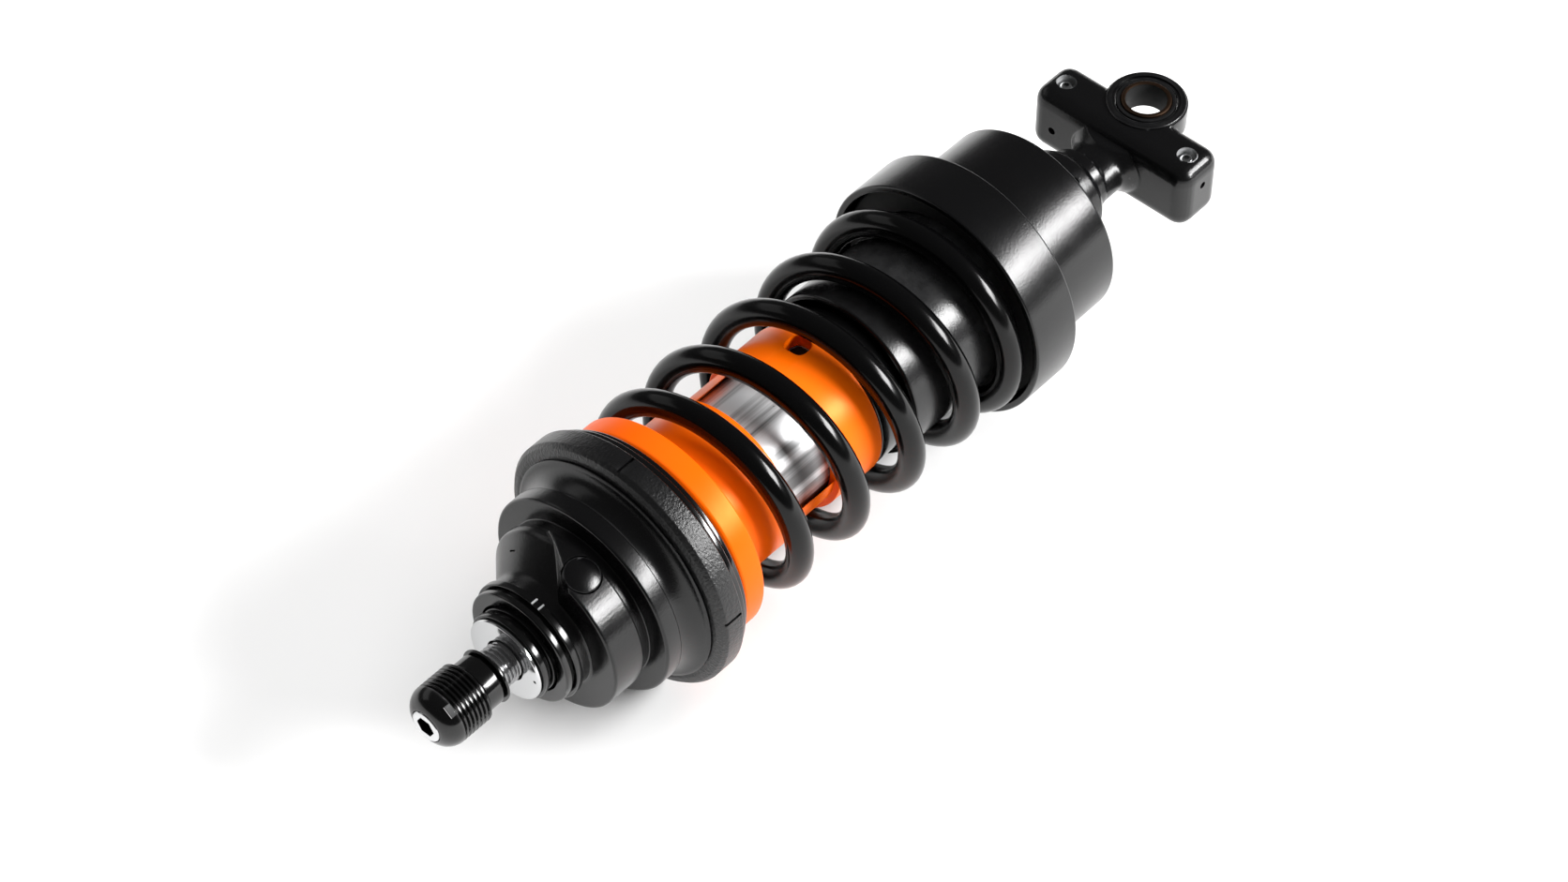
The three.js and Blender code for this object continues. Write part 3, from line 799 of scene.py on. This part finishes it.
    def _bearing(self) -> bpy.types.Object:
        """The bearing in the recess, its outer ring stepped."""
        corners = [
            (-86.1, 5.2), (-86.1, 9.6, 0.3), (-85.2, 9.6, 0.1), (-85.2, 10.7, 0.3), (-80.7, 10.7),
            (-80.7, 5.2),
        ]
        return Bench.turned("stud_bearing_race", corners)

    def _retainer(self) -> bpy.types.Object:
        """The grooved retaining ring."""
        corners = [
            (-84.7, 11.2, 0.2), (-84.7, 14.3, 0.5), (-83.1, 14.3, 0.2), (-83.1, 13.6), (-82.3, 13.6),
            (-82.3, 15.0, 0.3), (-80.5, 15.0, 0.3), (-80.5, 11.2),
        ]
        return Bench.turned("retainer_ring", corners)

    def _retainer_marks(self) -> bpy.types.Object:
        """The two bright witness marks across the ring's rear land."""
        centre, size = (-81.4, 0.0, 15.0), (1.7, 0.42, 0.3)
        marks = Bench.bar("retainer_marks", centre, size, FACE_ANGLE - math.pi / 2 - 0.23)
        second = Bench.bar("mark", centre, size, FACE_ANGLE - math.pi / 2 - 0.36)
        Bench.boolean(marks, second, "UNION")
        return Bench.settle(marks)


# ---- the bell and the damper's head --------------------------------------------


@dataclass
class Bell:
    """The bell with its drum, and the black rings up to the preload collar."""

    drum_front: float = -77.3
    drum_back: float = -68.4
    drum_radius: float = 21.4
    slant: float = math.atan2(12.2, 18.4)
    plug_station: float = -72.2
    plug_radius: float = 4.1
    plug_angle: float = FACE_ANGLE - math.radians(8)

    def build(self) -> None:
        """Builds and fits every piece of the bell."""
        Bench.fit(self._housing(), BLACK_ANODISED, Body.DAMPER, "valve_housing")
        Bench.fit(self._plug(), BLACK_ANODISED, Body.DAMPER, "bleed_plug")
        Bench.fit(self._lock_ring(), BLACK_ANODISED, Body.DAMPER, "lock_ring")
        Bench.fit(self._head(), BLACK_ANODISED, Body.DAMPER, "damper_head")

    def _housing(self) -> bpy.types.Object:
        """The cone and the slant-fronted drum, blended into one casting."""
        back = self.drum_back
        core = Bench.turned("bell_housing", [
            (-80.2, 5.3), (-80.2, 13.8, 0.4), (-77.2, 14.2, 2.0), (-70.6, 20.8, 1.5), (back, 20.9),
            (back, 17.0),
            (-70.1, 17.0), (-70.1, 12.2), (-76.4, 12.2), (-76.4, 5.3),
        ])
        drum = Bench.turned("drum", [
            (self.drum_front, 12.6), (self.drum_front, self.drum_radius, 0.5), (back, self.drum_radius, 0.4),
            (back, 17.0), (-70.1, 17.0), (-70.1, 12.6),
        ])
        cutter = Bench.bar("cutter", (-40.0, 0.0, 0.0), (80.0, 90.0, 90.0))
        Bench.take(cutter)
        turn = Matrix.Rotation(FACE_ANGLE - math.pi, 4, "X")
        hinge = Matrix.Translation(((self.drum_front - 1.2) * MM, 0.0, 0.0))
        place = turn @ hinge @ Matrix.Rotation(self.slant, 4, "Y")
        datum = Matrix.Translation((DATUM_X, 0.0, AXIS_Z))
        cutter.data.transform(datum @ place @ datum.inverted())
        Bench.boolean(drum, cutter, "DIFFERENCE")
        Bench.boolean(core, drum, "UNION")
        Bench.blend_skin(core, voxel=0.24, rounds=2)
        pocket = Bench.rod("pocket", self.plug_station, self.plug_angle, 18.6, 30.0, self.plug_radius + 0.4)
        Bench.boolean(core, pocket, "DIFFERENCE")
        slit = Bench.bar("slit", (-73.6, 0.0, 18.2), (0.35, 2.2, 2.0), FACE_ANGLE - math.pi / 2 - 1.25)
        Bench.boolean(core, slit, "DIFFERENCE")
        return Bench.settle(core, 40.0)

    def _plug(self) -> bpy.types.Object:
        """The round plug that closes the drum's port, its top domed."""
        plug = Bench.rod("bleed_plug_cap", self.plug_station, self.plug_angle, 18.9, 21.2, self.plug_radius)
        out = Vector((0.0, math.cos(self.plug_angle), math.sin(self.plug_angle)))
        Bench.clear_selection()
        bpy.ops.mesh.primitive_uv_sphere_add(
            segments=FINE_SIDES, ring_count=48, radius=9.0 * MM,
            location=Vector((DATUM_X + self.plug_station * MM, 0.0, AXIS_Z)) + out * 13.1 * MM,
        )
        dome = Bench.settle(bpy.context.object)
        cut = Bench.rod("cut", self.plug_station, self.plug_angle, 19.0, 30.0, self.plug_radius)
        Bench.boolean(dome, cut, "INTERSECT")
        Bench.boolean(plug, dome, "UNION")
        Bench.soften(plug, 0.2, angle=50.0)
        return Bench.settle(plug, 40.0)

    def _lock_ring(self) -> bpy.types.Object:
        """The broad ring behind the drum, with a narrow neck in front."""
        return Bench.turned("lock_ring_band", [
            (-68.1, 16.8), (-68.1, 20.2, 0.2), (-65.5, 20.2, 0.3), (-65.5, 25.5, 0.7), (-60.9, 25.5, 0.5),
            (-60.9, 16.8),
        ])

    def _head(self) -> bpy.types.Object:
        """The flare behind the lock ring and the sleeve under the collar."""
        return Bench.turned("damper_head_flare", [
            (-60.6, 16.8), (-60.6, 24.1), *arc(-60.3, 28.9, 4.8, 275, 350, 14), (-55.1, 28.9, 0.2),
            (-55.1, 22.0),
            (-46.3, 22.0), (-46.3, 16.8),
        ])


# ---- the preload stack and the spring ------------------------------------------


@dataclass
class PreloadStack:
    """The preload collar, the thrust rings and the spring seat."""

    collar: tuple[float, float, float] = (-54.8, -48.3, 32.0)
    notch_angles: tuple[float, ...] = (-0.48, 0.9, 2.66, 4.04)

    def build(self) -> None:
        """Builds and fits every piece of the stack."""
        Bench.fit(self._collar(), GREY_TEXTURED, Body.COLLAR, "preload_collar")
        for name, node, left, right, outer in (
            ("thrust_washer_ring", "thrust_washer", -48.0, -46.4, 30.8),
            ("thrust_race_ring", "thrust_race", -46.1, -44.7, 29.6),
        ):
            corners = [(left, 22.4), (left, outer, 0.45), (right, outer, 0.45), (right, 22.4)]
            Bench.fit(Bench.turned(name, corners), BLACK_GLOSS, Body.PERCH, node)
        Bench.fit(self._seat(), ORANGE_PLASTIC, Body.PERCH, "spring_seat")

    def _collar(self) -> bpy.types.Object:
        """The collar, with thin spanner notches across its rim."""
        left, right, outer = self.collar
        collar = Bench.turned("preload_collar_rim", [
            (left, 22.4), (left, 29.6, 0.3), (left + 0.5, outer - 0.9, 0.4), (left + 1.5, outer, 0.6),
            (right, outer, 0.5), (right, 22.4),
        ])
        for angle in self.notch_angles:
            notch = Bench.bar(
                "notch", ((left + right) / 2 + 0.3, 0.0, outer), (right - left - 1.6, 0.75, 1.6),
                FACE_ANGLE - math.pi / 2 + angle,
            )
            Bench.boolean(collar, notch, "DIFFERENCE")
        return Bench.settle(collar)

    def _seat(self) -> bpy.types.Object:
        """The orange seat that the spring's end bears on."""
        return Bench.turned("spring_seat_ring", [
            (-44.4, 20.3), (-44.4, 26.0, 0.4), (-43.0, 27.8, 1.0), (SEAT_FACE, 27.8, 0.5),
            (SEAT_FACE, 20.3, 0.3),
        ])


@dataclass
class Spring:
    """The coil spring, wound by a formula with closed ends."""

    radius: float = 25.7
    wire: float = 6.3
    turns: float = 5.5
    pitch: float = 18.75
    closed_pitch: float = 6.6
    first_angle: float = math.radians(170)
    ramp: tuple[float, float] = (0.4, 1.1)
    cut_turn: float = 0.2
    stroke: float = 45.0
    steps_per_turn: int = 64

    def build(self) -> None:
        """Winds the spring and fits it in place of the CAD spring on the spring perch."""
        Bench.clear_selection()
        bpy.ops.curve.primitive_bezier_circle_add(radius=self.radius * MM)
        wire = bpy.context.object
        wire.name = "coil_spring_wire"
        wire.data.splines.clear()
        wire.data.dimensions = "3D"
        spline = wire.data.splines.new("POLY")
        length = self.turns - self.cut_turn
        count = round(length * self.steps_per_turn) + 1
        spline.points.add(count - 1)
        for i, point in enumerate(spline.points):
            point.co = (*self._place(self.cut_turn + length * i / (count - 1)), 1.0)
        wire.data.bevel_depth = self.wire / 2 * MM
        wire.data.bevel_resolution = 12
        wire.data.use_fill_caps = True
        Bench.take(wire)
        bpy.ops.object.convert(target="MESH")
        Bench.soften(wire, 0.5, angle=60.0, segments=3)
        Bench.settle(wire)
        Bench.fit(wire, SPRING_BLACK, Body.PERCH, "coil_spring")
        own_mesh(wire)

    def _climb(self, turn: float) -> float:
        """How far the wire's centre climbs in a number of turns from a closed end, in millimetres."""
        start, stop = self.ramp
        slope = (self.pitch - self.closed_pitch) / (stop - start)
        ramp = min(max(turn, start), stop) - start
        beyond = max(turn - stop, 0.0)
        return self.closed_pitch * (turn - beyond) + slope * ramp * ramp / 2 + self.pitch * beyond

    def _place(self, turn: float) -> Vector:
        """The wire's centre after a number of turns.

        Args:
            turn: turns from the seat end.

        Returns:
            The point in the scene, in metres.
        """
        half = self.turns / 2
        if turn < half:
            along = self._climb(turn)
        else:
            along = 2 * self._climb(half) - self._climb(self.turns - turn)
        angle = self.first_angle + 2 * math.pi * turn
        station = SEAT_FACE + 0.25 + self.wire / 2 + along
        return Vector((
            DATUM_X + station * MM,
            self.radius * MM * math.cos(angle),
            AXIS_Z + self.radius * MM * math.sin(angle),
        ))


# ---- the damper inside the spring ----------------------------------------------


@dataclass
class DamperCore:
    """The orange cage, the polished tube and the black seal head."""

    outer: float = 19.8
    inner: float = 16.8
    rib: float = 18.3
    window: tuple[float, float] = (-18.6, -3.5)
    right: float = 10.8

    def build(self) -> None:
        """Builds and fits every piece."""
        Bench.fit(self._cage(), ORANGE_ANODISED, Body.DAMPER, "guide_cage")
        tube = Bench.fit(self._tube(), POLISHED_STEEL, Body.DAMPER, "damper_tube")
        # The slot's cut walls in the tube are dressed near-black rubber: painted shade inside the slot.
        Bench.dress_part(
            tube, RUBBER, lambda at: 3.0 < at.x < 10.4 and 14.65 < math.hypot(at.y, at.z) < 16.4,
        )
        Bench.fit(self._seal_head(), BLACK_GLOSS, Body.DAMPER, "seal_head")

    def _cage(self) -> bpy.types.Object:
        """Two bands joined by ribs, with a rounded slot near the right-hand edge."""
        low, high = self.window
        cage = Bench.turned("guide_cage_shell", [
            (-46.0, self.inner), (-46.0, self.outer, 0.3), (low, self.outer, 0.25), (low, self.rib, 0.2),
            (high, self.rib, 0.2), (high, self.outer, 0.25), (self.right, self.outer, 0.4),
            (self.right, self.inner),
        ])
        across = 2 * self.outer * math.sin(math.radians(57))
        turn = FACE_ANGLE - math.pi / 2
        opening = Bench.bar("opening", ((low + high) / 2, 0.0, 0.0), (high - low, across, 60.0), turn)
        Bench.boolean(cage, opening, "DIFFERENCE")
        Bench.boolean(cage, self._slot(), "DIFFERENCE")
        Bench.soften(cage, 0.16, angle=50.0)
        return Bench.settle(cage)

    def _tube(self) -> bpy.types.Object:
        """The polished tube, with a short scribed line in the window."""
        tube = Bench.turned("damper_tube_shell", [
            (-69.4, 14.6), (-69.4, 16.5, 0.2), (10.5, 16.5, 0.2), (10.5, 14.6),
        ])
        line = Bench.bar("line", (-9.6, 0.0, 16.5), (4.2, 0.22, 0.5), FACE_ANGLE - math.pi / 2 - 0.28)
        Bench.boolean(tube, line, "DIFFERENCE")
        Bench.boolean(tube, self._slot(), "DIFFERENCE")
        return Bench.settle(tube)

    def _slot(self) -> bpy.types.Object:
        """The tool that cuts the rounded slot near the cage's right-hand edge."""
        turn = FACE_ANGLE - math.pi / 2 - math.radians(36)
        slot = Bench.bar("slot", (7.0, 0.0, 19.6), (5.2, 6.2, 9.0), turn)
        Bench.soften(slot, 1.9, segments=5)
        return Bench.settle(slot)

    def _seal_head(self) -> bpy.types.Object:
        """The head that closes the tube, its shoulder rounded."""
        return Bench.turned("seal_head_cap", [
            (3.9, 7.1), (3.9, 14.3, 0.2), (7.0, 14.3), (7.0, 12.7), (9.0, 12.7), (9.0, 14.3), (11.1, 14.3),
            (11.1, 19.6, 0.4), *arc(17.4, 14.8, 4.8, 90, 5, 14), (22.2, 14.8), (22.2, 8.2, 0.3), (19.2, 8.2),
            (19.2, 7.1),
        ])


# ---- the shaft side ------------------------------------------------------------


@dataclass
class ShaftSide:
    """The sleeve, cup and body that slide over the damper."""

    def build(self) -> None:
        """Builds and fits every piece."""
        Bench.fit(Bench.turned("spring_guide_sleeve", [
            (20.5, 20.3, 0.2), (20.5, 21.6, 0.6), (66.0, 21.6), (66.0, 20.3),
        ]), BLACK_ANODISED, Body.SHAFT, "spring_guide")
        Bench.fit(self._isolator(), RUBBER, Body.SHAFT, "spring_isolator")
        Bench.fit(self._cup(), BLACK_ANODISED, Body.SHAFT, "spring_cup")
        Bench.fit(self._upper_body(), BLACK_ANODISED, Body.SHAFT, "upper_body")
        Bench.fit(self._neck_nut(), BLACK_ANODISED, Body.SHAFT, "neck_nut")
        Bench.fit(self._neck_screw(), DARK_STEEL, Body.SHAFT, "neck_screw")

    def _isolator(self) -> bpy.types.Object:
        """The soft pad under the spring's end."""
        pad = Bench.turned("spring_isolator_pad", [
            (54.7, 22.0, 0.4), (54.7, 28.8, 0.6), (57.7, 28.8, 0.6), (57.7, 22.0, 0.4),
        ])
        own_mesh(pad)
        return pad

    def _cup(self) -> bpy.types.Object:
        """The deep cup round the spring's end."""
        return Bench.turned("spring_cup_shell", [
            (51.5, 29.3, 0.3), (51.5, 31.0, 0.5), (65.2, 31.0, 0.6), (65.2, 22.0), (58.0, 22.0, 0.3),
            (58.0, 29.3, 0.8),
        ])

    def _upper_body(self) -> bpy.types.Object:
        """The plain body behind the cup."""
        return Bench.turned("upper_body_shell", [
            (65.5, 21.9), (65.5, 24.9, 0.3), (86.5, 24.9, 0.9), (86.5, 6.3, 0.3), (81.6, 6.3), (81.6, 5.3),
            (74.6, 5.3), (74.6, 21.9),
        ])

    def _neck_nut(self) -> bpy.types.Object:
        """The stout ring behind the body, with a pocket for its screw."""
        nut = Bench.turned("neck_nut_ring", [
            (86.8, 4.6), (86.8, 11.8, 0.5), (98.6, 11.4, 0.8), (100.6, 9.9, 0.5), (100.6, 4.6),
        ], FINE_SIDES)
        pocket = Bench.rod("pocket", 94.0, FACE_ANGLE, 7.4, 15.0, 1.9)
        Bench.boolean(nut, pocket, "DIFFERENCE")
        return Bench.settle(nut)

    def _neck_screw(self) -> bpy.types.Object:
        """The screw that locks the neck."""
        screw = Bench.rod("neck_screw_head", 94.0, FACE_ANGLE, 7.7, 10.4, 1.6, bevel=0.2)
        return Bench.settle(screw)


@dataclass
class Yoke:
    """The T-shaped yoke with its eye, liner, sleeve and two screws."""

    left: float = 114.0
    right: float = 128.0
    half_length: float = 23.5
    top: float = 7.6
    bottom: float = -10.5
    eye: float = 128.5
    eye_top: float = 8.2
    eye_bottom: float = 1.5
    boss: float = 10.0
    screw_x: float = 121.0
    screw_y: float = 18.2
    counterbore: float = 2.4
    flare_drop: float = 1.4
    flare_oval: tuple[float, float] = (1.15, 0.9)

    def build(self) -> None:
        """Builds and fits every piece."""
        block = Bench.fit(self._block(), BLACK_ANODISED, Body.SHAFT, "yoke_block")
        # The counterbore walls take the pale polished steel: bare metal walls, made bright as a painted
        # highlight ring.
        Bench.dress_part(
            block, POLISHED_STEEL,
            lambda at: abs(math.hypot(at.x - self.screw_x, abs(at.y) - self.screw_y) - self.counterbore) < 0.1
            and at.z < self.top - 0.05,
        )
        for side, name in ((-1, "yoke_screw_left"), (1, "yoke_screw_right")):
            Bench.fit(self._screw(side, name + "_head"), CHROME, Body.SHAFT, name)
        liner = self._sleeve("eye_liner_bush", 7.2, 6.2, 0.0)
        Bench.fit(liner, BLACK_ANODISED, Body.SHAFT, "eye_liner")
        sleeve = self._sleeve("eye_sleeve_bush", 6.08, 5.0, 0.4)
        Bench.fit(sleeve, BRONZE, Body.SLEEVE, "eye_sleeve")
        # The sleeve's bore wall is dressed near-black rubber: painted shade inside the bore.
        Bench.dress_part(
            sleeve, RUBBER,
            lambda at: math.hypot(at.x - self.eye, at.y) < 5.1 and at.z < self.eye_top - 0.2,
        )

    def _block(self) -> bpy.types.Object:
        """The forging: cross bar, neck and eye blended together, then drilled."""
        top, bottom, l = self.top, self.bottom, self.half_length
        centre = ((self.left + self.right) / 2, 0.0, (top + bottom) / 2)
        bar = Bench.bar("yoke_forging", centre, (self.right - self.left, 2 * l, top - bottom))
        self._bevel_edges(bar, "X", -1, 4.0)
        plan = Bench.bar("plan", centre, (self.right - self.left - 0.04, 2 * l - 0.04, top - bottom + 8))
        self._bevel_edges(plan, "Z", 0, 1.8)
        Bench.boolean(bar, plan, "INTERSECT")
        neck = Bench.turned("neck", [
            (82.0, 0.0), (82.0, 4.2), (100.9, 4.2), (100.9, 8.2, 0.4), (104.5, 8.2, 0.8),
            (105.6, 6.4), (106.6, 6.0), (106.6, 0.0),
        ], FINE_SIDES)
        flare = Bench.turned("flare", [
            (105.0, 0.0), (105.0, 6.6), (111.4, 6.6, 3.0), (114.6, 9.5), (117.0, 9.5), (117.0, 0.0),
        ], FINE_SIDES)
        axis = Vector((0.0, 0.0, AXIS_Z))
        lowered = Matrix.Translation(axis - Vector((0.0, 0.0, self.flare_drop * MM)))
        oval = Matrix.Diagonal((1.0, *self.flare_oval, 1.0))
        flare.data.transform(lowered @ oval @ Matrix.Translation(-axis))
        Bench.boolean(flare, Bench.bar("slab", (112.0, 0.0, -1.9), (20.0, 60.0, 14.0)), "INTERSECT")
        Bench.boolean(bar, neck, "UNION")
        Bench.boolean(bar, flare, "UNION")
        relief = Bench.post("relief", self.eye, 0.0, bottom - 1, self.eye_bottom, self.boss)
        Bench.boolean(bar, relief, "DIFFERENCE")
        boss = Bench.post("boss", self.eye, 0.0, self.eye_bottom, self.eye_top - 0.5, self.boss)
        Bench.boolean(bar, boss, "UNION")
        Bench.blend_skin(bar, voxel=0.24, rounds=3)
        rim = Bench.post("rim", self.eye, 0.0, top - 1.2, self.eye_top, self.boss - 0.35)
        Bench.soften(rim, 0.4, angle=60.0, segments=3)
        Bench.boolean(bar, rim, "UNION")
        recess = Bench.post("recess", self.eye, 0.0, self.eye_top - 0.35, self.eye_top + 1, 8.2)
        Bench.boolean(bar, recess, "DIFFERENCE")
        bore = Bench.post("bore", self.eye, 0.0, bottom - 1, self.eye_top + 1, 7.5)
        Bench.boolean(bar, bore, "DIFFERENCE")
        for side in (-1, 1):
            y = side * self.screw_y
            bore = Bench.post("counterbore", self.screw_x, y, top - 5, top + 1, self.counterbore)
            Bench.boolean(bar, bore, "DIFFERENCE")
            Bench.boolean(bar, Bench.post("hole", self.screw_x, y, bottom - 1, top, 1.6), "DIFFERENCE")
        Bench.boolean(bar, self._pin("light_hole", "Y", (self.left, 16.5, -2.5), 1.0), "DIFFERENCE")
        Bench.boolean(bar, self._pin("end_hole", "X", (self.screw_x, -l, 1.0), 0.9), "DIFFERENCE")
        return Bench.settle(bar, 40.0)

    def _pin(
        self, name: str, axis: str, place: tuple[float, float, float], radius: float
    ) -> bpy.types.Object:
        """A short round tool that lies flat, for drilling the bar's sides.

        Args:
            name: the tool's name.
            axis: the axis that the upright cylinder is tipped about.
            place: station, sideways place and height of its centre, in millimetres.
            radius: its radius in millimetres.

        Returns:
            The tool.
        """
        Bench.clear_selection()
        tip = Matrix.Rotation(math.pi / 2, 3, axis).to_euler()
        bpy.ops.mesh.primitive_cylinder_add(
            vertices=32, radius=radius * MM, depth=5 * MM, rotation=tip,
            location=Vector((DATUM_X, 0.0, AXIS_Z)) + Vector(place) * MM,
        )
        pin = bpy.context.object
        pin.name = name
        return Bench.settle(pin)

    def _bevel_edges(self, bar: bpy.types.Object, axis: str, side: int, width: float) -> None:
        """Rounds the bar's edges that run along one axis.

        Args:
            bar: the bar.
            axis: X or Z, the way the edges run.
            side: -1 for the edges below the bar's middle only, 0 for all of them.
            width: how much is rounded off, in millimetres.
        """
        Bench.take(bar)
        along = "XYZ".index(axis)
        middle = AXIS_Z + (self.top + self.bottom) / 2 * MM
        for edge in bar.data.edges:
            a, b = (bar.data.vertices[i].co for i in edge.vertices)
            runs = abs((b - a).normalized()[along]) > 0.99
            edge.select = runs and (side == 0 or max(a.z, b.z) < middle)
        bpy.ops.object.mode_set(mode="EDIT")
        bpy.ops.mesh.select_mode(type="EDGE")
        bpy.ops.mesh.bevel(offset=width * MM, offset_type="OFFSET", segments=6, affect="EDGES")
        bpy.ops.object.mode_set(mode="OBJECT")
        Bench.settle(bar)

    def _screw(self, side: int, name: str) -> bpy.types.Object:
        """A socket-head screw in the bar.

        Args:
            side: -1 or 1.
            name: the piece's name.

        Returns:
            The finished screw.
        """
        top, y = self.top, side * self.screw_y
        head = Bench.post(name, self.screw_x, y, top - 4.7, top - 0.9, 1.75)
        Bench.soften(head, 1.0, angle=60.0, segments=5)
        shank = Bench.post("shank", self.screw_x, y, self.bottom + 1.5, top - 4.5, 1.3)
        Bench.boolean(head, shank, "UNION")
        Bench.boolean(head, Bench.post("socket", self.screw_x, y, top - 2.8, top, 0.7, 6), "DIFFERENCE")
        return Bench.settle(head)

    def _sleeve(self, name: str, outer: float, inner: float, proud: float) -> bpy.types.Object:
        """An upright sleeve in the eye.

        Args:
            name: the piece's name.
            outer: outer radius in millimetres.
            inner: inner radius in millimetres.
            proud: how far it stands out of the eye at both ends, in millimetres.

        Returns:
            The finished sleeve.
        """
        low, high = self.eye_bottom - proud, self.eye_top + proud
        sleeve = Bench.post(name, self.eye, 0.0, low, high, outer)
        Bench.boolean(sleeve, Bench.post("bore", self.eye, 0.0, low - 1, high + 1, inner), "DIFFERENCE")
        Bench.soften(sleeve, 0.3, angle=60.0)
        return Bench.settle(sleeve)


# ---- the inside ----------------------------------------------------------------


@dataclass
class Internals:
    """The pieces inside, whose CAD solids already have their shape."""

    def dress(self) -> None:
        """Gives each hidden CAD node its finish."""
        for finish, nodes in (
            (DARK_STEEL, (
                "adjuster_spindle", "base_shims", "piston_nut", "rebound_shims", "compression_shims",
            )),
            (RAW_ALUMINIUM, ("base_valve", "main_piston")),
            (CHROME, ("damper_rod",)),
            (BRONZE, ("rod_bushing", "piston_band")),
            (RUBBER, ("gas_bladder", "rod_seal", "tube_seal", "wiper_seal", "bump_stop")),
        ):
            for node in nodes:
                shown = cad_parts[node]
                shown.data.materials.clear()
                shown.data.materials.append(finish.material())
                LOG.info("%s: dressed in %s", node, finish.name)


# ---- the studio ----------------------------------------------------------------


@dataclass
class Studio:
    """A pale sweep, soft lights and the camera."""

    azimuth: float = -48.1
    elevation: float = 49.04
    distance: float = 0.9428
    lens: float = 96.9
    drop: float = 3.27
    floor_size: float = 6.0

    def build(self) -> None:
        """Builds the floor, the world, the lights and the camera."""
        self._floor()
        self._world()
        self._softbox("key", (0.484, -0.718, 0.498), 1.1, (0.62, 0.3), 23.0, seen=True)
        self._softbox("back", (-0.2, 0.85, 0.5), 1.3, (1.2, 0.5), 1.1, seen=True)
        self._softbox("top", (0.2, 0.25, 1.0), 1.6, (2.6, 2.6), 42.0, seen=False)
        self._camera()

    def _floor(self) -> None:
        """The pale floor, a broad disc that fades into the world."""
        Bench.clear_selection()
        bpy.ops.mesh.primitive_circle_add(vertices=96, radius=self.floor_size / 2, fill_type="NGON")
        floor = bpy.context.object
        floor.name = "floor"
        material = bpy.data.materials.new("floor_paper")
        material.use_nodes = True
        nodes, link = material.node_tree.nodes, material.node_tree.links.new
        shader = nodes["Principled BSDF"]
        shader.inputs["Roughness"].default_value = 0.9
        shader.inputs["Specular IOR Level"].default_value = 0.1
        noise = nodes.new("ShaderNodeTexNoise")
        noise.inputs["Scale"].default_value = 3.0
        coords = nodes.new("ShaderNodeTexCoord")
        link(coords.outputs["Object"], noise.inputs["Vector"])
        mix = nodes.new("ShaderNodeMix")
        mix.data_type = "RGBA"
        mix.inputs[6].default_value = (0.93, 0.925, 0.92, 1.0)
        mix.inputs[7].default_value = (0.95, 0.95, 0.95, 1.0)
        link(noise.outputs["Fac"], mix.inputs["Factor"])
        link(mix.outputs[2], shader.inputs["Base Color"])
        floor.data.materials.append(material)

    def _world(self) -> None:
        """A dim, even surround."""
        world = bpy.data.worlds.new("studio_air")
        world.use_nodes = True
        background = world.node_tree.nodes["Background"]
        background.inputs["Color"].default_value = (1.0, 1.0, 1.0, 1.0)
        background.inputs["Strength"].default_value = 0.1
        bpy.context.scene.world = world
        bpy.context.scene.view_settings.view_transform = "Standard"

    def _softbox(
        self, name: str, direction: tuple[float, float, float], away: float, size: tuple[float, float],
        power: float, seen: bool,
    ) -> None:
        """Hangs a rectangular softbox that faces the shock.

        Args:
            name: the light's name.
            direction: from the shock to the light.
            away: its distance in metres.
            size: its width and height in metres.
            power: in watts.
            seen: whether it shows in glossy surfaces.
        """
        Bench.clear_selection()
        toward = Vector(direction).normalized()
        bpy.ops.object.light_add(type="AREA", location=toward * away + Vector((0.0, 0.0, AXIS_Z)))
        light = bpy.context.object
        light.name = name
        light.rotation_mode = "QUATERNION"
        light.rotation_quaternion = toward.to_track_quat("Z", "Y")
        light.data.shape = "RECTANGLE"
        light.data.size, light.data.size_y = size
        light.data.energy = power
        light.visible_glossy = seen

    def _camera(self) -> None:
        """Places the camera above and in front of the stud end."""
        a, e = math.radians(self.azimuth), math.radians(self.elevation)
        back = Vector((math.sin(a) * math.cos(e), -math.cos(a) * math.cos(e), math.sin(e)))
        turn = back.to_track_quat("Z", "Y")
        target = Vector((DATUM_X, 0.0, AXIS_Z)) - (turn @ Vector((0.0, 1.0, 0.0))) * self.drop * MM
        Bench.clear_selection()
        bpy.ops.object.camera_add(location=target + back * self.distance)
        camera = bpy.context.object
        camera.rotation_mode = "QUATERNION"
        camera.rotation_quaternion = turn
        camera.data.lens = self.lens
        camera.data.clip_start = 0.01
        bpy.context.scene.camera = camera


# ---- assembly ------------------------------------------------------------------


def main() -> None:
    """Builds the shock's pieces in order, then the studio."""
    logging.basicConfig(level=logging.INFO, format="%(name)s %(message)s")
    for assembly in (StudEnd(), Bell(), PreloadStack(), Spring(), DamperCore(), ShaftSide(), Yoke()):
        assembly.build()
        LOG.info("%s done", type(assembly).__name__)
    Internals().dress()
    Studio().build()


if __name__ == "__main__":
    main()
